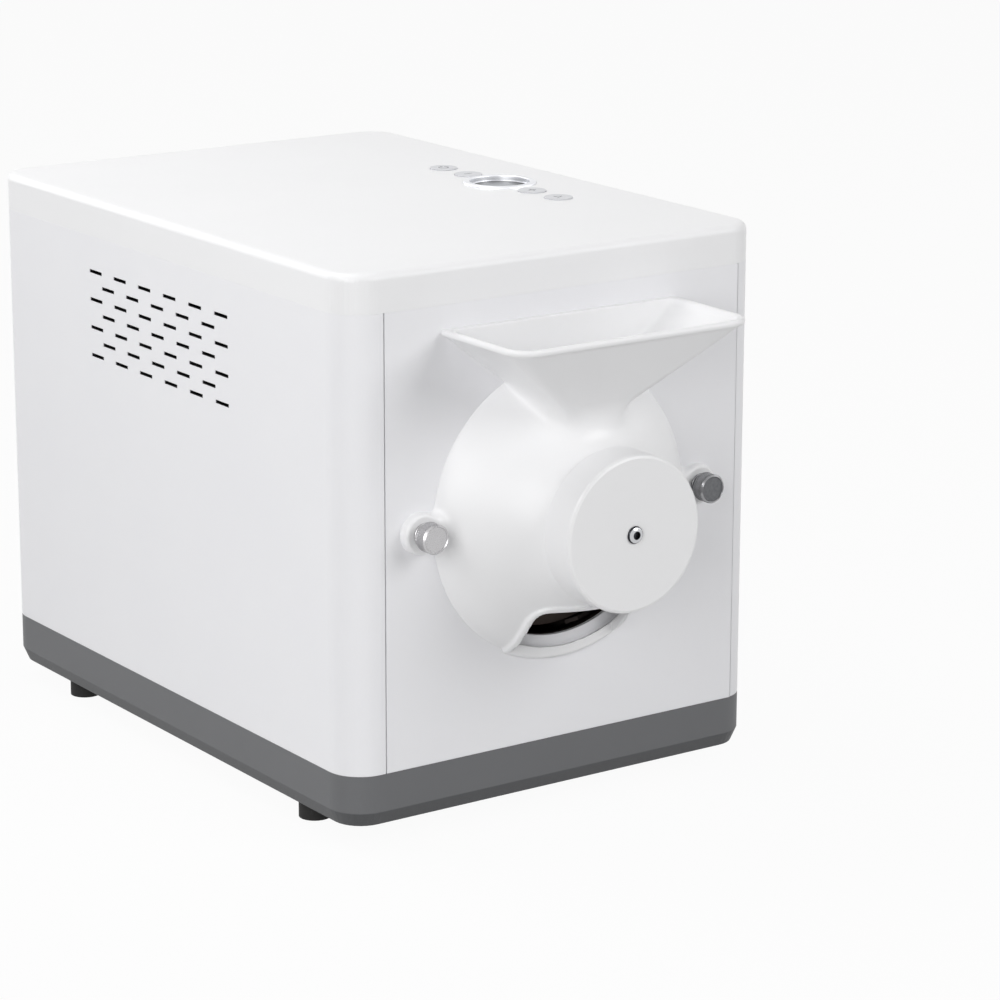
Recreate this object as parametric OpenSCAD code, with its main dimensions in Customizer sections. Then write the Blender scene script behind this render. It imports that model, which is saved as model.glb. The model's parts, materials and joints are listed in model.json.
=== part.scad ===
// Home coffee bean roaster: a white cabinet on a grey base tray, with a roasting drum that lies
// from front to back and a moulded front cover that holds the hopper and the outlet.
// The front faces -Y and +X is to the right of someone who looks at the front.

/* [Cabinet] */
// Width of the cabinet from side to side
body_w = 240; // [230:1:280]
// Depth of the cabinet from front panel to back
body_d = 341; // [330:1:380]
// Height from the table to the top of the lid
body_h = 276.5; // [268:0.5:320]
// Radius of the upright corners
corner_r = 17.5; // [12:0.5:20]
// Thickness of the sheet metal covers and panels
sheet_t = 2; // [1.5:0.1:2.5]
// Gap that shows between neighbouring panels
seam_gap = 0.6; // [0.4:0.1:1]
// Width of the left cover's return on the front
left_return = 20.7; // [18:0.1:22]
// Width of the right cover's return on the front
right_return = 13.6; // [12:0.1:16]

/* [Base and feet] */
// Height of a foot below the base tray
foot_h = 10.5; // [8:0.5:14]
// Diameter of a foot
foot_d = 16; // [12:0.5:20]
// Distance of a foot's centre from the side of the cabinet
foot_side = 15; // [12:0.5:20]
// Distance of a foot's centre from the front and from the back
foot_end = 55; // [40:1:70]
// Height of the grey base tray
base_h = 25.5; // [22:0.5:32]
// Height of the undercut strip along the tray's lower edge
undercut_h = 7; // [4:0.5:9]
// Inset of the undercut strip at its lower edge
undercut_in = 3; // [1:0.5:4]
// Thickness of the tray's floor and walls
tray_t = 3; // [2.5:0.5:4]

/* [Lid and controls] */
// Height of the lid's side band
lid_h = 18.9; // [15:0.1:24]
// Radius of the lid's upper edge
lid_edge_r = 4; // [2:0.5:6]
// Thickness of the lid's wall
lid_t = 2.5; // [2:0.1:3]
// Distance of the row of controls from the cabinet's right side
control_inset = 43.5; // [36:0.5:54]
// Distance of the display's centre behind the front panel
display_depth = 160.5; // [140:0.5:180]
// Outer diameter of the display's bezel
bezel_d = 37.6; // [34:0.2:42]
// Diameter of the display's lens
lens_d = 31; // [28:0.2:33]
// Diameter of a button
button_d = 14.4; // [12:0.2:16]
// Distance from the display's centre to the nearer button
button_near = 28.9; // [28.4:0.1:34]
// Distance between the two buttons on one side of the display
button_pitch = 22.9; // [18:0.1:26]
// Height of a button above the lid
button_proud = 0.6; // [0.4:0.1:1.2]
// Travel of a button
button_travel = 0.8; // [0.5:0.1:1]

/* [Front cover] */
// Height of the drum's axis above the table
axis_z = 151; // [150:1:158]
// Radius of the cover where it meets the panel
flange_r = 73; // [72:0.5:78]
// Thickness of the ears that carry the thumbscrews
ear_t = 5; // [4:0.5:6]
// Wall thickness of the moulded cover
cover_t = 3; // [2.5:0.1:3.5]
// Reach of the bell from the front panel to the cap
bell_reach = 41; // [39:0.5:46]
// Radius of the cap
cap_r = 38; // [36:0.5:41]
// Depth of the cap
cap_l = 19; // [16:0.5:21]
// Distance of a thumbscrew from the drum's axis
ear_x = 81; // [81:0.5:85]
// Radius of the ears
ear_r = 10; // [9:0.5:11]
// Radius of a thumbscrew's head
thumb_r = 7.2; // [6:0.1:8]
// Width of the bean outlet
outlet_w = 60; // [50:1:66]
// Height of the outlet's upper edge below the drum's axis
outlet_drop = 42; // [40:0.5:46]

/* [Hopper] */
// Height of the hopper's mouth above the table
mouth_z = 245.7; // [244:0.1:252]
// Width of the hopper's mouth
mouth_w = 136; // [120:1:150]
// Reach of the hopper's mouth from the front panel
mouth_reach = 62.5; // [60.5:0.5:75]
// Radius of the mouth's front corners
mouth_corner_r = 13; // [8:0.5:16]
// Width of the hopper's throat
throat_w = 48; // [40:1:56]
// Height of the throat's bottom above the drum's axis
throat_rise = 46; // [44:0.5:52]

/* [Drum and chamber] */
// Outer radius of the drum
drum_r = 60; // [56:0.5:61]
// Length of the drum
drum_l = 205; // [190:1:215]
// Thickness of the drum's sheet
drum_t = 1.2; // [1:0.1:2]
// Radius of the drum's front mouth
drum_mouth_r = 50; // [44:0.5:52]
// Number of mixing vanes
vane_count = 4; // [3:1:6]
// Height of a mixing vane
vane_h = 12; // [8:0.5:16]
// Radius of the drum shaft
shaft_r = 5; // [4:0.5:6]
// Radial clearance of the shaft in its bushes
bush_clear = 0.05; // [0.02:0.01:0.08]
// Inner radius of the roasting chamber
chamber_r = 72.5; // [72:0.5:73]
// Thickness of the chamber's wall
chamber_t = 2.5; // [1.5:0.5:2.5]
// Radius of the heating rods
rod_r = 3.2; // [2.5:0.1:4]

/* [Gears] */
// Gear module, the pitch diameter per tooth
gear_module = 1.5; // [1.4:0.05:1.6]
// Teeth on the drum gear
drum_teeth = 50; // [44:2:54]
// Teeth on the motor pinion
pinion_teeth = 14; // [12:1:16]
// Width of the drum gear
gear_w = 8; // [6:1:10]

/* [Vents and back] */
// Length of a vent slot
vent_l = 12.5; // [9:0.5:14]
// Height of a vent slot
vent_h = 1.8; // [1.2:0.1:2.4]
// Distance between slots along a row
vent_pitch = 24.7; // [20:0.1:26]
// Distance between rows of slots
vent_row = 7.24; // [5:0.01:8]
// Distance of the first slot's centre behind the front panel
vent_first = 111.3; // [100:0.1:120]
// Distance of the lowest row below the lid's seam
vent_drop = 61.7; // [56:0.1:75]
// Number of blades in the exhaust fan
fan_blades = 7; // [5:1:9]

/* [Hidden] */
$fn = 64;
front_reach = max(mouth_reach, bell_reach + cap_l + 2);
front_y = (front_reach - body_d) / 2;
tray_top = foot_h + base_h;
floor_top = foot_h + tray_t;
lid_z = body_h - lid_h;
half_w = body_w / 2;
half_d = body_d / 2;
control_x = half_w - control_inset;
vent_z = lid_z - vent_drop;
middle_y = front_y + half_d;
fit = 0.3;
touch = 0.05;

// Footprint of the cabinet, drawn smaller by the inset on every side
module footprint(inset = 0) {
    r = corner_r - inset;
    square([body_w - 2 * inset, body_d - 2 * corner_r], center = true);
    square([body_w - 2 * corner_r, body_d - 2 * inset], center = true);
    for (x = [-1, 1], y = [-1, 1])
        translate([x * (half_w - corner_r), y * (half_d - corner_r)]) circle(r);
}

// Upright wall that follows the footprint, between two heights
module shell(z0, z1, inset, wall) {
    translate([0, middle_y, z0]) linear_extrude(z1 - z0) difference() {
        footprint(inset);
        footprint(inset + wall);
    }
}

// Block that fills the footprint, between two heights
module slab(z0, z1, inset) {
    translate([0, middle_y, z0]) linear_extrude(z1 - z0) footprint(inset);
}

// Puts drawings at a place behind the front panel; they look forward, with Y up and Z to the front
module facing(x = 0, z = 0, depth = 0) {
    translate([x, front_y + depth, z]) rotate([90, 0, 0]) children();
}

// Solid of a drawing seen from the front, between two depths behind the front panel
module plate(depth0, depth1, x = 0, z = 0) {
    facing(x, z, depth1) linear_extrude(depth1 - depth0) children();
}

// Round bar that runs from front to back
module bar(r, depth0, depth1, x = 0, z = axis_z) {
    facing(x, z, depth1) cylinder(r = r, h = depth1 - depth0);
}

// Round tube that runs from front to back
module tube(r, bore, depth0, depth1, x = 0, z = axis_z) {
    difference() {
        bar(r, depth0, depth1, x, z);
        bar(bore, depth0 - 1, depth1 + 1, x, z);
    }
}

// ---- Base tray and feet ----

foot_x = half_w - foot_side;
foot_y = [front_y + foot_end, front_y + body_d - foot_end];
socket_r = foot_d / 2 - 2;
socket_h = 2;
rim_h = 5;
rim_t = 2;
base_slot = [34, 4];
base_head_r = 3;
base_shank_r = 1.5;
saddle_depths = [40, 180];
saddle_half = 62;
saddle_foot = 15;

module at_base_screws() {
    for (x = [-saddle_half + 12, saddle_half - 12], depth = saddle_depths)
        translate([x, front_y + depth + 9, 0]) children();
}

module at_feet() {
    for (x = [-foot_x, foot_x], y = foot_y) translate([x, y, 0]) children();
}

// Outer form of the tray: a straight band over an undercut strip
module tray_outer() {
    slab(foot_h + undercut_h, tray_top, 0);
    translate([0, middle_y, foot_h + undercut_h]) rotate([180, 0, 0]) undercut();
}

// Undercut strip, built downward as a frustum with rounded corners
module undercut() {
    hull() {
        linear_extrude(0.01) footprint(0, $fn = 32);
        translate([0, 0, undercut_h - 0.01]) linear_extrude(0.01) footprint(undercut_in, $fn = 32);
    }
}

module base_tray() color("dimgray") {
    difference() {
        tray_outer();
        slab(floor_top, tray_top + 1, tray_t);
        for (x = [-2 : 2], side = [-1, 1])
            translate([x * 1.3 * base_slot[0], middle_y + side * 60, 0])
                for (k = [-2 : 2])
                    translate([-base_slot[0] / 2, k * 3 * base_slot[1], 0])
                        cube([base_slot[0], base_slot[1], floor_top + 1]);
        at_feet() cylinder(r = socket_r + touch, h = foot_h + socket_h);
        at_base_screws() {
            translate([0, 0, foot_h - 1]) cylinder(r = base_head_r + touch, h = 2.5);
            cylinder(r = base_shank_r + touch, h = floor_top + 1);
        }
    }
    shell(tray_top - rim_h, tray_top + rim_h, sheet_t + fit, rim_t);
}

module feet() color("black")
    at_feet() {
        cylinder(r = foot_d / 2, h = foot_h);
        cylinder(r = socket_r, h = foot_h + socket_h - touch);
    }

// ---- Side covers, panels and lid ----

left_seam = -half_w + left_return;
right_seam = half_w - right_return;
flange_depth = 12;

// Staggered rows of slots: the even rows have one more slot than the odd rows between them
module vent_slots(x) {
    for (row = [0 : 6], k = [0 : 5 - row % 2])
        translate([x - sheet_t, front_y + vent_first + (k + (row % 2) / 2) * vent_pitch - vent_l / 2,
                   vent_z + row * vent_row - vent_h / 2])
            cube([2 * sheet_t, vent_l, vent_h]);
}

// Sheet metal cover that wraps from one side round both upright corners
module side_cover(x0, x1) {
    intersection() {
        shell(tray_top, lid_z, 0, sheet_t);
        translate([x0, front_y - 1, tray_top - 1]) cube([x1 - x0, body_d + 2, lid_z]);
    }
}

module left_side_cover() color("white") difference() {
    side_cover(-half_w - 1, left_seam - seam_gap / 2);
    vent_slots(-half_w);
}

module right_side_cover() color("white") difference() {
    side_cover(right_seam + seam_gap / 2, half_w + 1);
    vent_slots(half_w);
}

panel_opening_r = drum_r + 3;
panel_x0 = left_seam + seam_gap / 2;
panel_x1 = right_seam - seam_gap / 2;
insert_r = 4.5;
insert_bore = 2.6;
insert_l = 12;
insert_flange_r = insert_r + 1;

// Pan of sheet metal: a flat face with flanges turned back along its upright edges
module pan(depth, flange_to) {
    y0 = front_y + depth;
    translate([panel_x0, y0, tray_top]) cube([panel_x1 - panel_x0, sheet_t, lid_z - tray_top]);
    for (x = [panel_x0, panel_x1 - sheet_t])
        translate([x, min(y0, front_y + flange_to), tray_top + rim_h + 2])
            cube([sheet_t, abs(flange_to - depth), lid_z - tray_top - rim_h - 12]);
}

module front_panel() color("white") difference() {
    pan(0, flange_depth);
    bar(panel_opening_r, -1, sheet_t + 1);
    for (side = [-1, 1]) {
        bar(insert_r + touch, -1, sheet_t + 1, side * ear_x);
        bar(insert_flange_r + fit, sheet_t, flange_depth + 1, side * ear_x);
    }
}

module cover_inserts() color("gold")
    for (side = [-1, 1]) difference() {
        union() {
            bar(insert_r, 0, insert_l, side * ear_x);
            bar(insert_flange_r, sheet_t, sheet_t + 1, side * ear_x);
        }
        bar(insert_bore, -1, insert_l + 1, side * ear_x);
    }

fan_r = 28;
fan_side = 2 * fan_r + 4;
duct_r = fan_r + 2;
fan_drop = 18;
gear_tip_r = gear_module * (drum_teeth / 2 + 0.9);
fan_reach = gear_tip_r + duct_r + 2;
fan_rise = min(lid_z - rim_h - fan_drop - fan_side / 2 - axis_z, 0.8 * fan_reach);
fan_x = -sqrt(fan_reach * fan_reach - fan_rise * fan_rise);
fan_z = axis_z + fan_rise;
inlet_size = [48, 28];
inlet_mouth = [24, 17];
inlet_side = 8;
inlet_rise = 18;
inlet_x = panel_x1 - sheet_t - inlet_side - inlet_size[0] / 2;
inlet_z = tray_top + inlet_rise + inlet_size[1] / 2;
switch_size = [28, 12.5];
switch_rise = 22;
switch_z = inlet_z + inlet_size[1] / 2 + switch_rise;
louvre = [44, 2.4];
louvre_pitch = 9;
screw_r = 1.6;
screw_head_r = 2 * screw_r;
back_inside = body_d - sheet_t;
back_screw_z = [tray_top + 11, lid_z - 8];
back_screw_x = [left_seam + 9, right_seam - 9];
grille_pitch = 7;

// Upright slots that fill a round field
module grille_slots(r) {
    for (x = [-r + grille_pitch / 2 : grille_pitch : r])
        let (half = sqrt(r * r - x * x) - 1.5)
            translate([x - 1.7, -half]) square([3.4, 2 * half]);
}

module rear_panel() color("white") difference() {
    pan(body_d - sheet_t, body_d - flange_depth);
    plate(back_inside - 1, body_d + 1, fan_x, fan_z) grille_slots(fan_r);
    plate(back_inside - 1, body_d + 1, inlet_x, inlet_z) square(inlet_mouth + [16, 7], center = true);
    plate(back_inside - 1, body_d + 1, inlet_x, switch_z) square(switch_size, center = true);
    for (k = [0 : 6])
        plate(back_inside - 1, body_d + 1, inlet_x - louvre[0] / 2, axis_z + k * louvre_pitch) square(louvre);
    for (x = back_screw_x, z = back_screw_z) {
        bar(screw_r + 0.1, back_inside - 1, body_d + 1, x, z);
        facing(x, z, body_d + touch) cylinder(r1 = screw_head_r + 0.2, r2 = screw_r + 0.1, h = screw_r + 0.1);
    }
}

module rear_screws() color("silver")
    for (x = back_screw_x, z = back_screw_z) {
        facing(x, z, body_d - touch) cylinder(r1 = screw_head_r, r2 = screw_r, h = screw_r);
        bar(screw_r, body_d - 12, body_d - 1, x, z);
    }

top_z = body_h - lid_t;
control_y = front_y + display_depth;
button_offsets = [button_near + button_pitch, button_near, -button_near, -button_near - button_pitch];
button_hole_r = button_d / 2 + 0.2;
board_z = top_z - 12;
board_t = 1.6;
board_w = 34;
board_margin = 12;
post_r = 3;
board_half_l = button_near + button_pitch + board_margin;
window_r = bezel_d / 2 - 1.6;
lens_t = 1.5;
display_side = 0.6 * lens_d;

module at_board_corners() {
    for (x = [-1, 1], y = [-1, 1])
        translate([control_x + x * (board_w / 2 - post_r), control_y + y * (board_half_l - post_r), 0])
            children();
}

// One corner of the lid: an upright cylinder with a rounded upper edge
module lid_corner() {
    rotate_extrude($fn = 48) {
        square([corner_r - lid_edge_r, lid_h]);
        square([corner_r, lid_h - lid_edge_r]);
        translate([corner_r - lid_edge_r, lid_h - lid_edge_r]) intersection() {
            circle(lid_edge_r, $fn = 32);
            square(lid_edge_r);
        }
    }
}

module lid_outer() {
    translate([0, middle_y, lid_z]) hull()
        for (x = [-1, 1], y = [-1, 1])
            translate([x * (half_w - corner_r), y * (half_d - corner_r), 0]) lid_corner();
}

module top_lid() color("white") {
    difference() {
        lid_outer();
        slab(lid_z - 1, top_z, lid_t);
        for (dy = button_offsets)
            translate([control_x, control_y + dy, lid_z]) cylinder(r = button_hole_r, h = lid_h + 1);
        translate([control_x, control_y, lid_z]) cylinder(r = window_r, h = lid_h + 1);
    }
    shell(lid_z - rim_h, top_z - 4, sheet_t + fit + 0.2, rim_t);
    at_board_corners()
        translate([0, 0, board_z + board_t]) cylinder(r = post_r, h = top_z - board_z - board_t);
}

module display_bezel() color("silver") translate([control_x, control_y, 0]) difference() {
    union() {
        translate([0, 0, body_h]) cylinder(r = bezel_d / 2, h = 1.2);
        translate([0, 0, top_z - 1]) cylinder(r = window_r - 0.1, h = lid_t + 1.5);
    }
    translate([0, 0, top_z - 3]) cylinder(r = lens_d / 2 - 1, h = lid_t + 8);
    translate([0, 0, body_h - lens_t]) cylinder(r = lens_d / 2 + touch, h = 8);
}

module display_lens() color("black")
    translate([control_x, control_y, body_h - lens_t]) cylinder(r = lens_d / 2, h = lens_t + 0.6);

stem_r = 1.7;
stem_dip = 1.2;
switch_h = 4;
switch_side = 6;
button_skirt_r = button_d / 2 + 1.6;

// Round cap with a skirt that stays below the lid and a stem that reaches into its switch
module button(dy) {
    translate([control_x, control_y + dy, 0]) {
        translate([0, 0, top_z - fit - 1.5]) cylinder(r = button_d / 2, h = lid_t + fit + 1.5 + button_proud);
        translate([0, 0, top_z - fit - 1.5]) cylinder(r = button_skirt_r, h = 1.5);
        translate([0, 0, board_z + board_t + switch_h - stem_dip])
            cylinder(r = stem_r, h = top_z - board_z - board_t - switch_h);
    }
}

module button_power() color("lightgray") button(button_offsets[0]);
module button_down() color("lightgray") button(button_offsets[1]);
module button_up() color("lightgray") button(button_offsets[2]);
module button_start() color("lightgray") button(button_offsets[3]);

module control_board() color("darkgreen") {
    translate([control_x - board_w / 2, control_y - board_half_l, board_z])
        cube([board_w, 2 * board_half_l, board_t]);
    for (dy = button_offsets)
        translate([control_x, control_y + dy, board_z + board_t]) difference() {
            translate([-switch_side / 2, -switch_side / 2, 0]) cube([switch_side, switch_side, switch_h]);
            translate([0, 0, switch_h - stem_dip - button_travel - 1])
                cylinder(r = stem_r + 0.1, h = switch_h);
        }
    translate([control_x - display_side / 2, control_y - display_side / 2, board_z + board_t])
        cube([display_side, display_side, body_h - lens_t - board_z - board_t]);
    translate([control_x - 14, control_y + 18, board_z - 8]) cube([12, 10, 8]);
}

// ---- Front cover with its hopper, outlet and cap ----

rim_r = flange_r - 0.8;
rim_edge_t = 1.2;
seat_ring_t = 3;
neck_r = cap_r - 1.5;
bell_steps = 12;
lip_h = 1.5;
lip_w = 3;
throat_reach = bell_reach - 12.5;
mouth_lip_h = 2.4;
mouth_lip_w = 1.2;
funnel_t = 1.8;
hub_r = 13;
bush_r = 9;
bush_l = 16;
bush_back = bell_reach - cover_t - bush_l;
shaft_front = bell_reach - cover_t - 2;
cap_wall = 2.4;
cap_post_r = 6;
cap_screw_r = 1.5;
cap_head_r = 4.2;
spigot_t = 2;
spigot_l = 3;
ear_hole_r = 2.8;

// Radius of the bell along its length, halfway between a cone and a cosine wave
function bell_radius(s) =
    neck_r + (rim_r - neck_r) * (0.5 * (1 - s) + 0.5 * (0.5 + 0.5 * cos(180 * s)));

// Points along the bell, moved in by a distance, between two reaches from the panel
function bell_line(inset, reach0, reach1) =
    [for (i = [0 : bell_steps])
        [bell_radius(i / bell_steps) - inset, reach0 + (reach1 - reach0) * i / bell_steps]];

module bell(inset, reach) {
    facing(0, axis_z, 0) rotate_extrude()
        polygon(concat([[0, 0], [rim_r - inset, 0]], bell_line(inset, rim_edge_t, reach), [[0, reach]]));
}

// Section through the bell's wall, its seat on the panel, the hub and the cap's post, turned round the axis
module cover_body() {
    inside = bell_line(cover_t, rim_edge_t, bell_reach - cover_t);
    outside = bell_line(0, rim_edge_t, bell_reach);
    facing(0, axis_z, 0) rotate_extrude() difference() {
        union() {
            polygon(concat([[rim_r - cover_t, 0], [flange_r, 0], [flange_r, rim_edge_t]], outside,
                           [[0, bell_reach], [0, bell_reach - cover_t]],
                           [for (i = [bell_steps : -1 : 0]) inside[i]]));
            translate([panel_opening_r, 0]) square([rim_r - cover_t / 2 - panel_opening_r, seat_ring_t]);
            translate([0, bush_back]) square([hub_r, bell_reach - bush_back - 1]);
            translate([cap_r - cap_wall - spigot_t - 0.2, bell_reach - 1]) square([spigot_t, spigot_l + 1]);
            translate([0, bell_reach - 1]) square([cap_post_r, cap_l - cap_wall + 1 - touch]);
        }
        translate([0, -1]) square([bush_r, bell_reach - cover_t + 1]);
        translate([0, bell_reach - 2]) square([cap_screw_r + touch, cap_l + 3]);
    }
}

// Plan of the hopper's mouth seen from above, with round front corners
module mouth_plan(inset, back) {
    half = mouth_w / 2 - inset;
    reach = mouth_reach - inset;
    r = mouth_corner_r - inset;
    translate([-half, -reach + r]) square([2 * half, reach - r - back]);
    translate([-half + r, -reach]) square([2 * (half - r), r + 1]);
    for (x = [-half + r, half - r]) translate([x, -reach + r]) circle(r, $fn = 32);
}

module mouth_slab(inset, back, z0, z1) {
    translate([0, front_y, z0]) linear_extrude(z1 - z0) mouth_plan(inset, back);
}

// Funnel from the wide mouth to a round-bottomed throat; its back stands off from the panel
module funnel(inset, back, top) {
    hull() {
        mouth_slab(inset, back, mouth_z - mouth_lip_h, top);
        facing(0, axis_z + throat_rise + throat_w / 2, -back)
            cylinder(r = throat_w / 2 - inset, h = throat_reach - inset - back, $fn = 32);
    }
}

module outlet_front(grow) {
    translate([-outlet_w / 2 - grow, -flange_r - 1])
        square([outlet_w + 2 * grow, flange_r + 1 - outlet_drop + grow]);
}

// Raised lip along the outlet's edge, which follows the bell
module outlet_lip() {
    difference() {
        intersection() {
            bell(-lip_h, bell_reach - 1);
            plate(-bell_reach, -rim_edge_t, 0, axis_z) outlet_front(lip_w);
        }
        bell(cover_t / 2, bell_reach + 1);
    }
}

module front_cover() color("white") difference() {
    union() {
        cover_body();
        for (side = [-1, 1]) {
            bar(ear_r, -ear_t, 0, side * ear_x);
            plate(-ear_t, 0, side * (ear_x + rim_r - cover_t) / 2, axis_z)
                square([ear_x - rim_r + cover_t, 2 * ear_r - 3], center = true);
        }
        difference() {
            union() {
                funnel(mouth_lip_w, 0, mouth_z);
                mouth_slab(0, 0, mouth_z - mouth_lip_h, mouth_z);
            }
            bell(cover_t / 2, bell_reach);
        }
        outlet_lip();
    }
    funnel(mouth_lip_w + funnel_t, cover_t, mouth_z + 1);
    plate(-bell_reach - 1, -seat_ring_t - touch, 0, axis_z) outlet_front(0);
    for (side = [-1, 1]) bar(ear_hole_r, -ear_t - 1, 1, side * ear_x);
}

module cover_cap() color("white") facing(0, axis_z, -bell_reach)
    rotate_extrude() polygon([
        [cap_screw_r + 0.2, cap_l - cap_wall], [cap_r - cap_wall, cap_l - cap_wall], [cap_r - cap_wall, 0],
        [cap_r, 0], [cap_r, cap_l - 1.6], [cap_r - 0.5, cap_l - 0.5], [cap_r - 1.6, cap_l],
        [cap_head_r + 0.1, cap_l], [cap_screw_r + 0.2, cap_l - 1.7]
    ]);

module cap_screw() color("silver") facing(0, axis_z, -bell_reach - cap_l)
    rotate_extrude() polygon([
        [0, -cap_l + 3], [cap_screw_r, -cap_l + 3], [cap_screw_r, -1.8], [cap_head_r, touch],
        [cap_head_r, 0.5], [0.85 * cap_head_r, 1.3], [0.5 * cap_head_r, 1.8], [0, 2]
    ]);

module front_bush() color("goldenrod")
    tube(bush_r - touch, shaft_r + bush_clear, -bell_reach + cover_t, -bush_back);

knurls = 36;
thumb_shank_r = insert_bore - 0.2;
thumb_neck = 3.5;
thumb_l = 11;
thumb_seat = ear_t + fit;

// Knurled head on a stepped collar, with a shank that reaches into the panel's insert
module thumbscrew(x) color("silver") {
    bar(thumb_shank_r, -thumb_seat, insert_l + 1, x);
    bar(thumb_r - 1.2, -thumb_seat - 1, -thumb_seat, x);
    bar(thumb_r - 2.6, -thumb_seat - thumb_neck, -thumb_seat - 1, x);
    plate(-thumb_seat - thumb_l, -thumb_seat - thumb_neck, x, axis_z)
        polygon([for (i = [0 : 2 * knurls - 1])
            (thumb_r - 0.3 * (i % 2)) * [cos(i * 180 / knurls), sin(i * 180 / knurls)]]);
    bar(thumb_r - 0.7, -thumb_seat - thumb_l - 0.7, -thumb_seat - thumb_l, x);
}

module thumbscrew_left() thumbscrew(-ear_x);
module thumbscrew_right() thumbscrew(ear_x);

// ---- Drum, its shaft and bearings ----

drum_front = 8;
drum_back = drum_front + drum_l;
boss_r = 9;
boss_l = 6;
spider_depth = 12;
spider_t = 3;
drum_gap = 15;
bearing_r = 14;
bearing_front = drum_back + boss_l + 3;
bearing_tail = 6;
chamber_front = sheet_t;
chamber_back = drum_back + drum_gap;
bulkhead_t = 2;
bulkhead_back = chamber_back + bulkhead_t;
bulkhead_side = 10;
bulkhead_foot = 14;
wire_port = 18;
gear_boss_l = 3;
gear_gap = 5;
gear_depth = bulkhead_back + bearing_tail + gear_gap + gear_boss_l;
shaft_back = gear_depth + gear_w + 3;

module drum_shell() color("silver") {
    difference() {
        union() {
            bar(drum_r, drum_front, drum_back);
            bar(boss_r, drum_back, drum_back + boss_l);
        }
        bar(drum_r - drum_t, drum_front + drum_t, drum_back - drum_t);
        bar(drum_mouth_r, drum_front - 1, drum_front + drum_t + 1);
        bar(shaft_r + touch, drum_back - 5, drum_back + boss_l + 1);
    }
}

// Helical vanes that stir the beans along the drum
module drum_vanes() color("silver") facing(0, axis_z, drum_back - 8)
    for (k = [0 : vane_count - 1])
        rotate(k * 360 / vane_count)
            linear_extrude(drum_l - 26, twist = 40, slices = 12, segments = 4, $fn = 0)
                translate([drum_r - drum_t - touch - vane_h - 0.4, -0.6]) square([vane_h, 1.2]);

module front_spider() color("silver") facing(0, axis_z, spider_depth + spider_t)
    linear_extrude(spider_t) difference() {
        union() {
            circle(boss_r);
            intersection() {
                for (k = [0 : 2]) rotate(90 + k * 120) translate([0, -4]) square([drum_r, 8]);
                circle(drum_r - drum_t - touch);
            }
        }
        circle(shaft_r + touch);
    }

module drum_shaft() color("silver") bar(shaft_r, -shaft_front, shaft_back);

// Angle in degrees between a gear's radius and its involute, at a point with this pressure angle
function involute(a) = tan(a) * 180 / PI - a;

// Half the angle that a tooth spans at radius r
function tooth_half(teeth, r) =
    let (pitch_r = gear_module * teeth / 2, base_r = pitch_r * cos(20))
    (90 - backlash) / teeth + involute(20) - (r > base_r ? involute(acos(base_r / r)) : 0);

backlash = 4;

// Outline of a gear whose first tooth points along X
module gear_outline(teeth) {
    pitch_r = gear_module * teeth / 2;
    radii = [pitch_r - 1.2 * gear_module, pitch_r, pitch_r + 0.9 * gear_module];
    polygon([for (k = [0 : teeth - 1], side = [-1, 1], i = side < 0 ? [0 : 2] : [2 : -1 : 0])
        let (a = k * 360 / teeth + side * tooth_half(teeth, radii[i])) radii[i] * [cos(a), sin(a)]]);
}

pinion_angle = -60;
gear_distance = gear_module * (drum_teeth + pinion_teeth) / 2;
pinion_x = gear_distance * cos(pinion_angle);
pinion_z = axis_z + gear_distance * sin(pinion_angle);
motor_front = shaft_back + 5;
motor_shaft_r = 3;

module drum_gear() color("ivory") {
    plate(gear_depth, gear_depth + gear_w, 0, axis_z) difference() {
        rotate(pinion_angle) gear_outline(drum_teeth);
        circle(shaft_r + touch);
        for (k = [0 : 5]) rotate(k * 60) translate([0.55 * gear_tip_r, 0]) circle(0.14 * gear_tip_r);
    }
    tube(boss_r, shaft_r + touch, gear_depth - gear_boss_l, gear_depth);
}

module motor_pinion() color("ivory") {
    plate(gear_depth - 1, gear_depth + gear_w + 1, pinion_x, pinion_z)
        rotate(pinion_angle + 180 + 180 / pinion_teeth) gear_outline(pinion_teeth);
    bar(motor_shaft_r, gear_depth + gear_w + 1, motor_front + motor_bore_l - 2, pinion_x, pinion_z);
}

module rear_bearing() color("goldenrod") difference() {
    union() {
        bar(bearing_r, bearing_front, bulkhead_back + bearing_tail);
        bar(bearing_r + 5, bulkhead_back, bulkhead_back + 2);
    }
    bar(shaft_r + bush_clear, bearing_front - 1, bulkhead_back + bearing_tail + 1);
}

// ---- Roasting chamber, heater and what they stand on ----

chamber_out = chamber_r + chamber_t;
rod_ring_r = (drum_r + chamber_r) / 2 + 2;
rod_step = 24;
rod_angles = [-90 - 1.5 * rod_step, -90 - 0.5 * rod_step, -90 + 0.5 * rod_step, -90 + 1.5 * rod_step];
rod_front = 28;
rod_turn_back = drum_back - 8;
rod_end = bulkhead_back + 10;
rod_bush_r = 6;
rod_bush_l = 12;
port_r = 12;
port_reach = chamber_r - port_r - 6;
port_x = fan_x * port_reach / fan_reach;
port_z = axis_z + fan_rise * port_reach / fan_reach;
probe_r = 2;
probe_x = -(drum_r + chamber_r) / 2;
probe_nut_r = 5;
probe_nut_l = 6;

// Cuts for what passes through the chamber's rear wall and the bulkhead behind it
module rear_cuts() {
    bar(bearing_r + touch, chamber_back - drum_gap / 2, bulkhead_back + 1);
    bar(port_r, chamber_back - drum_gap / 2, bulkhead_back + 1, port_x, port_z);
    bar(probe_r + touch, chamber_back - drum_gap / 2, bulkhead_back + 1, probe_x);
    for (a = [rod_angles[0], rod_angles[3]])
        bar(rod_bush_r + touch, chamber_back - drum_gap / 2, bulkhead_back + 1,
            rod_ring_r * cos(a), axis_z + rod_ring_r * sin(a));
}

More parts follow.
